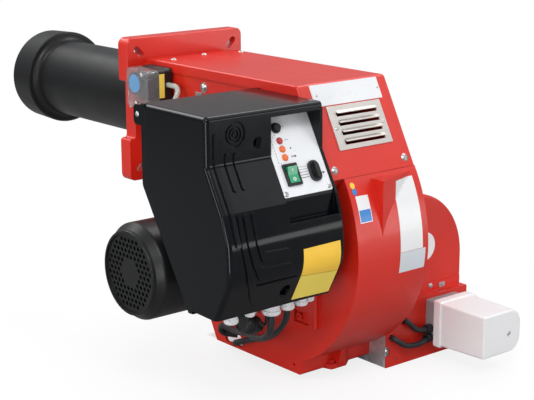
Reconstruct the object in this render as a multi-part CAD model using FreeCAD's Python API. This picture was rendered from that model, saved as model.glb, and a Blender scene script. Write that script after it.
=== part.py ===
# Industrial gas burner, in millimetres.
# The origin lies on the flame tube axis, at the flange face that meets the boiler.
# +Y runs along the flame tube into the boiler, +X to the operator's right, +Z up.
import FreeCAD
import Part
import math
import os
from FreeCAD import Vector

OUT = "parts"

# Boiler flange
flange_side = 240.0
flange_thick = 25.0
flange_corner_r = 12.0
flange_notch_depth = 12.0
flange_notch_half = 48.0
stud_half = 96.0
slot_width = 11.0
slot_length = 23.0

# Flame tube and combustion head
tube_r = 70.0
tube_wall = 3.0
tube_end_y = 345.0
tube_collar_r = 78.0
tube_collar_thick = 5.0
head_r = 86.0
head_tip_r = 83.6
head_wall = 4.0
head_shoulder_y = 361.0
head_end_y = 423.0
head_fillet = 13.0
slip_gap = 0.15
run_gap = 0.05

# Air plenum, the upper casting
sheet = 2.0
cast_wall = 5.0
hood_half = 88.0
hood_top_z = 86.4
hood_back_y = -55.0
hood_lip = 16.0
slope_top_y = -416.0
slope_foot_y = -485.0
slope_foot_z = -44.0
hood_slack = 0.2
neck_plate_thick = 8.0
neck_bottom_z = -90.0
hood_seat = 28.0
neck_chamfer = 18.0
plenum_floor_z = -60.0
plenum_front_y = -470.0

# Fan scroll, built from four quarter arcs about the fan axis
fan_y = -298.0
fan_z = -180.0
scroll_left = -56.0
scroll_right = 88.0
scroll_small = 120.0
scroll_growth = 33.0
ledge_left_x = -6.0
ledge_y = -515.0
ledge_z = -50.0
ledge_foot_z = -140.0

# Base under the scroll
base_bottom_z = -374.0
base_back_y = -168.0
base_front_y = -391.5
base_upright = 26.0
foot_left = -8.0
foot_right = 46.0
foot_tip_y = -402.0
foot_web_x = 9.0
foot_web_y = -411.0
foot_plate = 8.0
arch_back_y = -198.0
arch_long = 46.0
arch_foot = 4.5
arch_high = 28.0
wall_bar = (-432.0, -414.0, -286.0, -205.0)
wall_bar_proud = 8.0
wall_pocket = (-409.0, -373.0, -289.0, -269.0)
wall_pocket_floor = 6.0
wall_pocket_rim = 3.0

# Fan, motor and shaft
shaft_r = 7.0
fan_r = 100.0
fan_hub_r = 20.0
fan_disc_x = -38.0
fan_width = 80.0
fan_blades = 30
inlet_r = 50.0
inlet_flange_r = 62.5
motor_plate_r = 112.0
motor_spigot_r = 102.0
motor_bolt_circle = 107.0
motor_plate_thick = 12.0
motor_frame_r = 65.0
stator_r = 60.0
stator_bore_r = 36.0
rotor_core_r = 35.5
bearing_r = 17.5
bearing_long = 12.0
cool_fan_x = -288.0
motor_r = 70.0
motor_body_end_x = -232.0
cowl_r = 73.0
cowl_face_r = 63.0
cowl_end_x = -310.0
cowl_wall = 2.0
cowl_seat = 14.0
cool_fan_r = 58.0

# Ventilation grille on the sloped cover, by x and distance down the slope
grille_x0 = -48.0
grille_x1 = 59.0
grille_d0 = 38.0
grille_d1 = 106.0
grille_thick = 2.0
louvre_count = 4
louvre_pitch = 14.6
louvre_x0 = -33.0
louvre_x1 = 47.0
louvre_d0 = 45.5
louvre_gap = 8.0

# Air intake casing and its lower box
intake_right = 272.0
intake_top_z = -115.0
intake_round = 115.0
intake_half_y = 117.0
intake_ledge = 15.0
intake_panel_z = -285.0
intake_panel_y = fan_y - intake_half_y - intake_ledge
intake_bottom_z = -386.0
damper_x = 219.0
damper_z = -322.0
damper_half = 49.0
flap_clear = 19.0
flap_front_y = intake_panel_y + flap_clear
damper_shaft_r = 5.0

# Damper servo
servo_left = 175.0
servo_right = 264.0
servo_top = -287.0
servo_bottom = -359.0
servo_base_depth = 22.0
servo_cover_depth = 104.0
servo_rim = 3.0
servo_rim_depth = 14.0
servo_mid_x = 236.0
servo_screw_z = -328.0
servo_cable_r = 4.5
servo_entry_ahead = 11.0
servo_entries = [(intake_panel_y - servo_entry_ahead, z) for z in (-335.0, -350.0)]

# Electrical box on the left side
box_left = -299.0
box_right = -89.5
box_top = 73.5
box_front_y = -477.0
box_back_y = -326.0
box_wall = 3.0
box_base_depth = 9.0
box_edge_r = 6.5
panel_x0 = -186.0
panel_x1 = -97.0
panel_thick = 1.5
panel_top_z = 61.0
panel_long = 126.5
recess_bend_z = -53.0
recess_foot_z = -82.0
recess_depth = 3.0
rib_proud = 2.2
boss_x = -249.5
boss_z = 45.0
cover_screw_x = -192.0
cover_screw_z = -177.5
well_depth = 9.0
well_r = 8.5
floor_bottom = -206.0

# White cable glands in the bottom plate: x, y, radius, height and bore
cable_r = 5.2
second_cable_r = 4.8
thin_cable_r = 2.4
gland_neck = 0.62
glands = [(-251.0, -466.0, 11.0, 14.0, 0), (-214.0, -462.0, 8.0, 12.0, 0), (-176.0, -464.0, 14.0, 17.0, cable_r),
          (-147.0, -465.0, 11.0, 15.0, second_cable_r), (-121.0, -465.0, 10.5, 14.0, 0),
          (-103.5, -462.0, 8.5, 12.0, 0)]
thin_cable_place = (-164.0, -438.0)

# Controls on the sloping panel, by x and distance down the panel
rocker_x = -160.5
rocker_down = 95.5
rocker_half_w = 12.5
rocker_half_h = 16.0
rocker_axis_out = 2.5
rocker_key_w = 8.4
rocker_key_h = 11.7
rocker_well_w = 10.2
rocker_well_h = 13.9
rocker_pin_r = 1.5
rocker_tilt = 9.0
selector_x = -119.5
selector_down = 96.0
reset_x = -162.0
reset_down = 25.5
reset_travel = 2.5
lamp_r = 5.0
lamps = [(-162.0, 44.5), (-162.0, 57.0), (-162.0, 69.5)]
panel_screw_places = [(-180.5, 121.5), (-101.5, 121.0)]
control_holes = [(reset_x, reset_down, 6.3), (selector_x, selector_down, 8.2)] + [(x, d, 3.6) for x, d in lamps]

# Air pressure switch on the neck's left side
switch_left = -140.0
switch_front_y = -113.0
switch_depth_y = 62.0
switch_bottom = 12.0
switch_height = 68.0
dial_r = 18.0
dial_y = -72.0
dial_z = 54.0

nipple_r = 3.0
nipple_y = -139.0
nipple_z = 22.0

# Gas inlet on the neck's right side
gas_bore_r = 22.4
gas_thread_long = 30.0
gas_inner_r = 20.0
gas_tube_wall = 5.0
gas_y = -110.0
gas_face_x = 130.0
gas_flange_thick = 14.0
gas_flange_half = 38.0
gas_pipe_r = 19.0
gas_pipe_wall = 2.5
head_travel = 25.0
rod_r = 4.0
pipe_start_y = gas_y - 18.0
pipe_end_y = 250.0
distributor_r = 32.0
distributor_end_y = 384.0
disc_r = 62.0
electrode_turns = (75, 105, -75)
electrode_circle = 41.0

AXIS_X = (1.0, 0.0, 0.0)
AXIS_Y = (0.0, 1.0, 0.0)
AXIS_Z = (0.0, 0.0, 1.0)
tiny = 1e-6


# Basic solids
def box(x0, x1, y0, y1, z0, z1):
    return Part.makeBox(x1 - x0, y1 - y0, z1 - z0, Vector(x0, y0, z0))


def rod(start, axis, radius, length):
    return Part.makeCylinder(radius, length, Vector(*start), Vector(*axis))


def pipe(start, axis, outer, inner, length):
    return rod(start, axis, outer, length).cut(rod(start, axis, inner, length))


def fused(first, others):
    return first.fuse(list(others)).removeSplitter()


def on_yz(x):
    return lambda p: Vector(x, p.x, p.y)


def on_xz(y):
    return lambda p: Vector(p.x, y, p.y)


def on_xy(z):
    return lambda p: Vector(p.x, p.y, z)


def corner(before, here, after, radius):
    """Start, middle and end of the arc that rounds one corner."""
    if radius <= 0:
        return here, here, here
    to_before = (before - here).normalize()
    to_after = (after - here).normalize()
    half = to_before.getAngle(to_after) / 2
    cut = radius / math.tan(half)
    bisector = (to_before + to_after).normalize()
    middle = here + bisector * (radius / math.sin(half) - radius)
    return here + to_before * cut, middle, here + to_after * cut


def outline(points, place):
    """Closed wire through (u, v) or (u, v, radius) corners."""
    flat = [Vector(p[0], p[1], 0) for p in points]
    radii = [p[2] if len(p) > 2 else 0 for p in points]
    count = len(points)
    corners = [corner(flat[i - 1], flat[i], flat[(i + 1) % count], radii[i]) for i in range(count)]
    edges = []
    for i in range(count):
        start, middle, stop = corners[i]
        after = corners[(i + 1) % count][0]
        if (stop - start).Length > tiny:
            edges.append(Part.Arc(place(start), place(middle), place(stop)).toShape())
        if (after - stop).Length > tiny:
            edges.append(Part.makeLine(place(stop), place(after)))
    return Part.Wire(edges)


def prism_x(points, x0, x1):
    return Part.Face(outline(points, on_yz(x0))).extrude(Vector(x1 - x0, 0, 0))


def prism_y(points, y0, y1):
    return Part.Face(outline(points, on_xz(y0))).extrude(Vector(0, y1 - y0, 0))


def prism_z(points, z0, z1):
    return Part.Face(outline(points, on_xy(z0))).extrude(Vector(0, 0, z1 - z0))


def rounded_rect(u0, u1, v0, v1, radius):
    return [(u0, v0, radius), (u1, v0, radius), (u1, v1, radius), (u0, v1, radius)]


def turned_y(points):
    """Solid turned about the Y axis from (radius, y) corners."""
    face = Part.Face(outline(points, on_xy(0)))
    return face.revolve(Vector(0, 0, 0), Vector(0, 1, 0), 360)


def turned_x(points, y, z):
    """Solid turned about an X line through (y, z) from (x, radius) corners."""
    face = Part.Face(outline(points, lambda p: Vector(p.x, y, z + p.y)))
    return face.revolve(Vector(0, y, z), Vector(1, 0, 0), 360)


def shifted(points, distance):
    """Open (u, v) path moved to the right of its direction by a distance."""
    flat = [Vector(p[0], p[1], 0) for p in points]
    result = []
    for i, here in enumerate(flat):
        first = flat[max(i - 1, 0)]
        last = flat[min(i + 1, len(flat) - 1)]
        ways = [w.normalize() for w in (here - first, last - here) if w.Length > tiny]
        normals = [Vector(w.y, -w.x, 0) for w in ways]
        total = normals[0] + normals[-1]
        total = total * (2 * distance / total.dot(total))
        result.append((here.x + total.x, here.y + total.y))
    return result


def facing_fillet(solid, radius, chosen):
    edges = [e for e in solid.Edges if chosen(e)]
    return solid.makeFillet(radius, edges) if edges else solid


def screw(head_place, way, head_r, head_high, shank_r, shank_long):
    """Dome-headed screw whose head stands out along way; the larger heads have a cross recess."""
    ball_r = (head_r ** 2 + head_high ** 2) / (2 * head_high)
    lift = math.asin(head_r / ball_r) / 2
    rim = Vector(head_r, 0, 0)
    crown = Vector(0, 0, head_high)
    middle = Vector(ball_r * math.sin(lift), 0, head_high - ball_r + ball_r * math.cos(lift))
    foot = Vector(shank_r, 0, -shank_long)
    edges = [Part.Arc(rim, middle, crown).toShape(), Part.makeLine(crown, Vector(0, 0, -shank_long)),
             Part.makeLine(Vector(0, 0, -shank_long), foot), Part.makeLine(foot, Vector(shank_r, 0, 0)),
             Part.makeLine(Vector(shank_r, 0, 0), rim)]
    body = Part.Face(Part.Wire(edges)).revolve(Vector(0, 0, 0), Vector(0, 0, 1), 360)
    if head_r > 3.5:
        wide = 0.13 * head_r
        long = 0.55 * head_r
        low = 0.45 * head_high
        arms = [box(-long, long, -wide, wide, low, head_high + 1), box(-wide, wide, -long, long, low, head_high + 1)]
        body = body.cut(arms)
    body.Placement = FreeCAD.Placement(Vector(*head_place), FreeCAD.Rotation(Vector(0, 0, 1), Vector(*way)))
    return body


# Route of a cable: straight runs joined by tangent arcs
def route_wire(points):
    flat = [Vector(*p) for p in points]
    edges = []
    last = flat[0]
    for i in range(1, len(flat) - 1):
        run_in = (flat[i] - flat[i - 1]).Length
        run_out = (flat[i + 1] - flat[i]).Length
        back = (flat[i - 1] - flat[i]).normalize()
        on = (flat[i + 1] - flat[i]).normalize()
        cut = 0.45 * min(run_in, run_out)
        half = back.getAngle(on) / 2
        radius = cut * math.tan(half)
        bisector = (back + on).normalize()
        middle = flat[i] + bisector * (radius / math.sin(half) - radius)
        start = flat[i] + back * cut
        stop = flat[i] + on * cut
        edges.append(Part.makeLine(last, start))
        edges.append(Part.Arc(start, middle, stop).toShape())
        last = stop
    edges.append(Part.makeLine(last, flat[-1]))
    return Part.Wire(edges)


def cable(points, radius):
    wire = route_wire(points)
    way = Vector(*points[1]) - Vector(*points[0])
    ring = Part.Wire(Part.makeCircle(radius, Vector(*points[0]), way))
    solid = wire.makePipeShell([ring], True, False)
    print("cable length %.1f, volume ratio %.4f" % (wire.Length, solid.Volume / (math.pi * radius ** 2 * wire.Length)))
    return solid


# Lines of the sloped front cover
slope_way = Vector(0, slope_foot_y - slope_top_y, slope_foot_z - hood_top_z).normalize()
slope_out = Vector(0, slope_way.z, -slope_way.y)


def on_slope(x, down, out=0.0):
    """Point of the sloped cover: x, distance down from its top edge, and height off it."""
    top = Vector(x, slope_top_y, hood_top_z)
    return top + slope_way * down + slope_out * out


def slope_plate(x0, x1, down0, down1, out0, out1, corner_r=0.0):
    """Flat plate parallel to the sloped cover."""
    place = lambda p: on_slope(p.x, p.y, out0)
    face = Part.Face(outline(rounded_rect(x0, x1, down0, down1, corner_r), place))
    return face.extrude(slope_out * (out1 - out0))


# Boiler flange with four slots at 45 degrees and a notch in each side
def mounting_flange():
    half = flange_side / 2
    body = prism_y(rounded_rect(-half, half, -half, half, flange_corner_r), -flange_thick, 0)
    for side in (-1, 1):
        inner = half - flange_notch_depth
        notch = box(min(side * inner, side * (half + 1)), max(side * inner, side * (half + 1)),
                    -flange_thick - 1, 1, -flange_notch_half, flange_notch_half)
        body = body.cut(notch)
    edges = [e for e in body.Edges if abs(abs(e.CenterOfMass.z) - flange_notch_half) < 1e-3
             and e.Length > flange_thick - 1 and abs(e.tangentAt(e.FirstParameter).y) > 0.99]
    body = body.makeFillet(5.0, edges)
    reach = (slot_length - slot_width) / 2 / math.sqrt(2)
    for sx in (-1, 1):
        for sz in (-1, 1):
            inner = (sx * (stud_half - reach), -flange_thick, sz * (stud_half - reach))
            outer = (sx * (stud_half + reach), -flange_thick, sz * (stud_half + reach))
            ends = [rod(p, AXIS_Y, slot_width / 2, flange_thick) for p in (inner, outer)]
            middle = Vector((inner[0] + outer[0]) / 2, -flange_thick, (inner[2] + outer[2]) / 2)
            link = Part.makeBox(slot_length - slot_width, flange_thick, slot_width,
                                Vector(-(slot_length - slot_width) / 2, 0, -slot_width / 2))
            link.rotate(Vector(0, 0, 0), Vector(0, 1, 0), -45 * sx * sz)
            link.translate(middle)
            body = body.cut(fused(link, ends))
    body = body.cut(rod((0, -flange_thick, 0), AXIS_Y, tube_r + slip_gap, flange_thick))
    body = body.cut(rod((0, -flange_thick, 0), AXIS_Y, tube_collar_r + slip_gap, tube_collar_thick))
    rim = [e for e in body.Edges if abs(e.CenterOfMass.y + flange_thick) < 1e-3
           and max(abs(e.CenterOfMass.x), abs(e.CenterOfMass.z)) > half - 2]
    return body.makeChamfer(1.5, rim)


def blast_tube():
    collar_y = -flange_thick + tube_collar_thick
    return turned_y([(tube_r - tube_wall, -flange_thick), (tube_collar_r, -flange_thick),
                     (tube_collar_r, collar_y), (tube_r, collar_y),
                     (tube_r, tube_end_y), (tube_r - tube_wall, tube_end_y)])


# Flared end of the combustion head, with a spigot inside the tube
def flame_head():
    bore = tube_r - tube_wall - slip_gap
    spigot_y = tube_end_y - 20
    return turned_y([(bore - 2.5, spigot_y), (bore, spigot_y), (bore, tube_end_y), (tube_r, tube_end_y),
                     (tube_r, head_shoulder_y - 1.5, head_fillet), (head_r - 1.5, head_shoulder_y - 1.5, 1.5),
                     (head_r, head_shoulder_y + 2), (head_tip_r, head_end_y, 1.5),
                     (head_tip_r - head_wall, head_end_y, 1.0),
                     (head_r - head_wall - 1, head_shoulder_y + head_wall),
                     (bore - 2.5, head_shoulder_y + head_wall)])


# Scroll outline: four quarter arcs whose radii grow towards the outlet
def scroll_wire(inset, x):
    step = scroll_growth / 2
    radii = [scroll_small + scroll_growth * (i + 0.5) - inset for i in range(4)]
    back_c = Vector(x, fan_y + step, fan_z - step)
    low_c = Vector(x, fan_y - step, fan_z - step)
    front_c = Vector(x, fan_y - step, fan_z + step)
    top_c = Vector(x, fan_y + step, fan_z + step)
    quarter = math.sqrt(0.5)

    def at(centre, radius, dy, dz):
        return centre + Vector(0, dy, dz) * radius

    top = at(back_c, radii[0], 0, 1)
    back = at(back_c, radii[0], 1, 0)
    low = at(low_c, radii[1], 0, -1)
    front = at(front_c, radii[2], -1, 0)
    rise = slope_foot_z - top_c.z
    lip = Vector(x, top_c.y - math.sqrt(radii[3] ** 2 - rise ** 2), slope_foot_z)
    lift = math.atan2(rise, top_c.y - lip.y) / 2
    mid_top = at(top_c, radii[3], -math.cos(lift), math.sin(lift))
    shelf = Vector(x, top.y, slope_foot_z)
    edges = [Part.Arc(top, at(back_c, radii[0], quarter, quarter), back).toShape(),
             Part.Arc(back, at(low_c, radii[1], quarter, -quarter), low).toShape(),
             Part.Arc(low, at(front_c, radii[2], -quarter, -quarter), front).toShape(),
             Part.Arc(front, mid_top, lip).toShape(),
             Part.makeLine(lip, shelf), Part.makeLine(shelf, top)]
    return Part.Wire(edges)


def scroll_solid(inset, x0, x1):
    return Part.Face(scroll_wire(inset, x0)).extrude(Vector(x1 - x0, 0, 0))


casting_half = hood_half - sheet - hood_slack
casting_top = hood_top_z - sheet
plenum_path = [(-flange_thick - neck_plate_thick, casting_top)] + \
    shifted([(0, hood_top_z), (slope_top_y, hood_top_z), (slope_foot_y, slope_foot_z)], -sheet)[1:]
neck_front_y = -flange_thick - neck_plate_thick


def plenum_outline(inset, open_top):
    """YZ outline of the plenum, inset by the wall, running past the open top and slope."""
    slope = shifted([(0, casting_top), plenum_path[1], plenum_path[2]], 40.0 if open_top else 0.0)
    head = [(neck_front_y - (hood_seat if open_top else 0), slope[0][1]), slope[1], slope[2]]
    return head + [(plenum_front_y + inset, plenum_floor_z + inset, 0 if inset else 6.0),
                   (fan_y + 90, plenum_floor_z + inset, 10.0),
                   (fan_y + 125, neck_bottom_z + inset, 10.0),
                   (neck_front_y - (hood_seat if open_top else 0), neck_bottom_z + inset)]


inner_left = scroll_left + cast_wall
inner_right = scroll_right - cast_wall


def plenum_cavity():
    return prism_x(plenum_outline(cast_wall, True), cast_wall - casting_half, casting_half - cast_wall)


def scroll_block(x0, x1):
    """Outside of the scroll with the sloping ledge in front and the base below, between two X planes."""
    ledge = prism_z([(ledge_left_x, ledge_y), (scroll_right, slope_foot_y + 0.5),
                     (scroll_right, fan_y - fan_r), (ledge_left_x, fan_y - fan_r)], ledge_foot_z, ledge_z)
    base = prism_x([(base_back_y, fan_z - 60), (base_back_y + 10, base_bottom_z + 32),
                    (base_back_y - 7, base_bottom_z, 3), (base_front_y, base_bottom_z, 6),
                    (base_front_y, base_bottom_z + base_upright), (fan_y - 90, fan_z - 60)], x0, x1)
    side = box(x0, x1, ledge_y - 10, base_back_y + 20, base_bottom_z - 1, slope_foot_z + 1)
    return fused(scroll_solid(0, x0, x1), [ledge.common(side), base])


# The upper casting: neck and air plenum
def burner_housing():
    neck_half = casting_half + 6.0
    neck = prism_y([(-neck_half, neck_bottom_z, 10.0), (neck_half, neck_bottom_z, 10.0),
                    (neck_half, casting_top - neck_chamfer), (neck_half - neck_chamfer, casting_top),
                    (neck_chamfer - neck_half, casting_top), (-neck_half, casting_top - neck_chamfer)],
                   neck_front_y, -flange_thick)
    plenum = prism_x(plenum_outline(0, False), -casting_half, casting_half)
    body = fused(plenum, [neck]).cut(scroll_block(scroll_left, scroll_right))
    body = body.cut(plenum_cavity()).cut(scroll_solid(cast_wall, inner_left, inner_right))
    # way through the neck to the flame tube, and the gas inlet
    body = body.cut(rod((0, neck_front_y - hood_seat - 1, 0), AXIS_Y, tube_r, neck_plate_thick + hood_seat + 2))
    body = body.cut(rod((casting_half - cast_wall - 1, gas_y, 0), AXIS_X,
                        gas_bore_r + gas_tube_wall + slip_gap, cast_wall + 2))
    nipple = pipe((-casting_half - 11, nipple_y, nipple_z), AXIS_X, nipple_r, nipple_r - 1.5, 12)
    return fused(body, [nipple])


# The fan scroll with its base, open on the right where the side plate closes it
def fan_scroll():
    foot_back_y = base_front_y + 4
    foot = prism_z([(foot_left, foot_back_y), (foot_left + 5, foot_tip_y, 3), (foot_web_x + 3, foot_tip_y, 3),
                    (foot_right, foot_back_y)], base_bottom_z, base_bottom_z + foot_plate)
    web = prism_x([(foot_back_y, base_bottom_z), (foot_tip_y, base_bottom_z), (foot_web_y, base_bottom_z + 33),
                   (foot_back_y, base_bottom_z + 33)], foot_web_x, foot_right)
    wedge = prism_z([(foot_web_x, foot_back_y + 1), (foot_web_x, foot_web_y - 1), (foot_web_x + 6, foot_web_y - 1),
                     (foot_right, foot_back_y)], base_bottom_z, base_bottom_z + 34)
    body = fused(scroll_block(scroll_left, inner_right), [foot, web.common(wedge)])
    body = body.cut(plenum_cavity()).cut(scroll_solid(cast_wall, inner_left, inner_right + 1))
    hollow_base = prism_x([(base_back_y - cast_wall, fan_z - 80), (base_back_y + 4, base_bottom_z + 32),
                           (base_back_y - 8, base_bottom_z - 1), (base_front_y + cast_wall, base_bottom_z - 1),
                           (base_front_y + cast_wall, base_bottom_z + base_upright), (fan_y - 90, fan_z - 80)],
                          inner_left, inner_right + 1)
    body = body.cut(hollow_base.cut(scroll_solid(0, inner_left, inner_right + 1)))
    body = body.cut(rod((scroll_left - 1, fan_y, fan_z), AXIS_X, motor_spigot_r, cast_wall + 2))
    # cable hole at the back of the left wall, then the bar, the pocket and its boss
    arch_front_y = arch_back_y - arch_long
    arch_low_z = base_bottom_z + arch_foot
    arch = prism_x([(arch_back_y, arch_low_z, 6), (arch_front_y, arch_low_z, 4), (arch_front_y, arch_low_z + 13, 9),
                    (arch_front_y + 16, arch_low_z + arch_high, 12), (arch_back_y, arch_low_z + arch_high, 10)],
                   scroll_left - 1, inner_left + 1)
    body = body.cut(arch)
    bar = box(scroll_left - wall_bar_proud, scroll_left + 1, *wall_bar)
    bar = bar.makeFillet(3.0, [e for e in bar.Edges if abs(e.CenterOfMass.x - scroll_left + wall_bar_proud) < 1e-3])
    y0, y1, z0, z1 = wall_pocket
    rim = wall_pocket_rim
    pad = box(scroll_left, inner_left + wall_pocket_floor, y0 - rim, y1 + rim, z0 - rim, z1 + rim)
    pocket = box(scroll_left - 1, scroll_left + wall_pocket_floor, y0, y1, z0, z1)
    boss_y = y1 - 11
    boss_z = (z0 + z1) / 2
    boss = rod((scroll_left, boss_y, boss_z), AXIS_X, 5.5, wall_pocket_floor + 1)
    body = fused(body, [bar, pad]).cut(pocket)
    body = fused(body, [boss.cut(rod((scroll_left - 1, boss_y, boss_z), AXIS_X, 2.0, wall_pocket_floor))])
    body = body.cut(rod((scroll_left - 1, y1, base_bottom_z + 13), AXIS_X, 2.5, cast_wall + 2))
    body = body.cut(motor_bolts())
    # two cast loops on the foot, beside its web
    loops = [pipe((foot_web_x - 1 - dx, base_front_y - 6, base_bottom_z + foot_plate + 2), AXIS_Y, 3.4, 1.6, 7)
             for dx in (0, 6.5)]
    return fused(body, loops)


# Side plate on the right of the scroll, with the fan inlet
def scroll_side_plate():
    body = scroll_block(inner_right, scroll_right).cut(plenum_cavity())
    return body.cut(rod((inner_right - 1, fan_y, fan_z), AXIS_X, inlet_r + 10, cast_wall + 2))


# Sheet-metal hood: top, sloped front and side lips
def hood_cover():
    outer_path = [(hood_back_y, hood_top_z), (slope_top_y, hood_top_z), (slope_foot_y, slope_foot_z)]
    lip_path = shifted(outer_path, -hood_lip)
    inner_path = shifted(outer_path, -sheet)
    far_path = shifted(outer_path, -hood_lip - 10)
    outer = [(p[0], p[1]) for p in outer_path]
    outer[1] = (outer[1][0], outer[1][1], 8.0)
    solid = prism_x(outer + [(p[0], p[1]) for p in reversed(lip_path)], -hood_half, hood_half)
    solid = facing_fillet(solid, 3.0, lambda e: abs(abs(e.CenterOfMass.x) - hood_half) < 1e-3
                          and on_outer_face(e))
    inner_half = hood_half - sheet
    first = (inner_path[0][0] + 10, inner_path[0][1])
    last = Vector(inner_path[2][0], inner_path[2][1], 0) + Vector(slope_way.y, slope_way.z, 0) * 10
    far_last = Vector(far_path[2][0], far_path[2][1], 0) + Vector(slope_way.y, slope_way.z, 0) * 10
    inner = [first, inner_path[1], (last.x, last.y),
             (far_last.x, far_last.y), far_path[1], (first[0], far_path[0][1])]
    solid = solid.cut(prism_x(inner, -inner_half, inner_half))
    solid = solid.cut(box(-hood_half - 1, hood_half + 1, slope_foot_y - 10, slope_foot_y + 60,
                          slope_foot_z - 20, slope_foot_z))
    vent = slope_plate(louvre_x0, louvre_x1, louvre_d0, grille_d1 - 8, -sheet - 1, 1)
    return solid.cut([vent] + hood_screws())


def on_outer_face(edge):
    """True for an edge on the top or the slope's outer face."""
    p = edge.CenterOfMass
    away = (p - on_slope(p.x, 0)).dot(slope_out)
    return abs(p.z - hood_top_z) < 1e-3 or abs(away) < 1e-3 or (p.z > hood_top_z - 5 and p.y < slope_top_y + 6)


def vent_grille():
    body = slope_plate(grille_x0, grille_x1, grille_d0, grille_d1, 0, grille_thick, 1.0)
    blades = []
    for i in range(louvre_count):
        top = louvre_d0 + i * louvre_pitch
        slot = slope_plate(louvre_x0, louvre_x1, top, top + louvre_gap + 1.5, -1, grille_thick + 1)
        body = body.cut(slot)
        corners = [on_slope(louvre_x0, top, 0.4), on_slope(louvre_x0, top, 1.9),
                   on_slope(louvre_x0, top + louvre_gap - 2.6, 6.4), on_slope(louvre_x0, top + louvre_gap - 2.0, 5.1)]
        face = Part.Face(Part.makePolygon(corners + [corners[0]]))
        blades.append(face.extrude(Vector(louvre_x1 - louvre_x0, 0, 0)))
    return fused(body, blades).cut(trim_rivets())


def name_plate():
    return slope_plate(-66, 68, 2.5, 36, 0, 1.0, 1.5).cut(trim_rivets())


def trim_rivets():
    """Rivets of the name plate and screws of the grille."""
    places = [(-58, 19, 1.0, 2.0), (64, 19, 1.0, 2.0), (-41, 73, grille_thick, 3.0), (52, 73, grille_thick, 3.0)]
    return [screw(on_slope(x, d, out), slope_out, r, r * 0.5, r * 0.5, out) for x, d, out, r in places]


def hood_screws():
    top = [(-63, -77.5), (10.7, -62), (77.5, -78)]
    fixings = [screw((x, y, hood_top_z), AXIS_Z, 5.0, 2.4, 2.0, sheet) for x, y in top]
    fixings += [screw(on_slope(x, 133, 0), slope_out, 6.5, 3.2, 2.5, sheet) for x in (-68, 73)]
    return fixings


def casing_screws():
    """Screw with its washer and earthing tab on the left wall of the plenum."""
    wall = -casting_half
    washer = rod((wall - 1.2, -190, 56), AXIS_X, 8.5, 1.2)
    tab = box(wall - 1.2, wall, -186, -168, 38, 47)
    head = screw((wall - 1.2, -190, 56), (-1, 0, 0), 6.5, 4.0, 2.5, 1.0)
    return [fused(washer, [tab, head])]


# Motor, fan and rotor
def bolt_ring(radius, count, first_turn):
    """Y and Z of bolts on a circle about the fan axis."""
    turns = [math.radians(first_turn + 360.0 / count * i) for i in range(count)]
    return [(fan_y + radius * math.cos(t), fan_z + radius * math.sin(t)) for t in turns]


motor_start = scroll_left - motor_plate_thick


def motor_bolts():
    return [fused(rod((motor_start - 5, y, z), AXIS_X, 5.5, 5),
                  [rod((motor_start, y, z), AXIS_X, 3.0, motor_plate_thick + cast_wall)])
            for y, z in bolt_ring(motor_bolt_circle, 6, 30)]


def motor_flange():
    body = rod((motor_start, fan_y, fan_z), AXIS_X, motor_plate_r, motor_plate_thick)
    spigot = rod((scroll_left, fan_y, fan_z), AXIS_X, motor_spigot_r - slip_gap, cast_wall)
    body = fused(body, [spigot])
    body = body.cut(rod((motor_start, fan_y, fan_z), AXIS_X, shaft_r + 9, motor_plate_thick + cast_wall))
    return body.cut(motor_bolts())


def motor_body():
    """Finned frame with its two end shields and their bearing seats."""
    length = motor_start - motor_body_end_x
    body = rod((motor_body_end_x, fan_y, fan_z), AXIS_X, motor_frame_r, length)
    rings = [rod((motor_start - 14 - i * 9.0, fan_y, fan_z), AXIS_X, motor_r, 4.5) for i in range(14)]
    rings.append(rod((motor_body_end_x, fan_y, fan_z), AXIS_X, motor_r, cowl_seat))
    rings.append(rod((motor_start - 8, fan_y, fan_z), AXIS_X, motor_r + 6, 8))
    body = fused(body, rings)
    hollow = rod((motor_body_end_x + bearing_long, fan_y, fan_z), AXIS_X, stator_r, length - 2 * bearing_long)
    body = body.cut(hollow)
    return body.cut(rod((motor_body_end_x, fan_y, fan_z), AXIS_X, bearing_r, length))


def motor_stator():
    core = pipe((-200, fan_y, fan_z), AXIS_X, stator_r, stator_bore_r, 90)
    windings = [pipe((x, fan_y, fan_z), AXIS_X, stator_r - 5, stator_bore_r + 2, 12) for x in (-212, -110)]
    return fused(core, windings)


def motor_rotor_core():
    return pipe((-202, fan_y, fan_z), AXIS_X, rotor_core_r, shaft_r, 94)


def motor_bearings():
    return [pipe((x, fan_y, fan_z), AXIS_X, bearing_r, shaft_r + run_gap, bearing_long)
            for x in (motor_body_end_x, motor_start - bearing_long)]


def motor_terminal_box():
    """Low terminal box on the upper back of the motor."""
    body = Part.makeBox(92, 66, 22, Vector(-216, -33, motor_r - 8))
    edges = [e for e in body.Edges if e.CenterOfMass.z > motor_r + 13]
    body = body.makeFillet(5.0, edges)
    body.rotate(Vector(0, 0, 0), Vector(1, 0, 0), -48)
    body.translate(Vector(0, fan_y, fan_z))
    return body.cut(rod((-232, fan_y, fan_z), AXIS_X, motor_r, 110))


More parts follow.
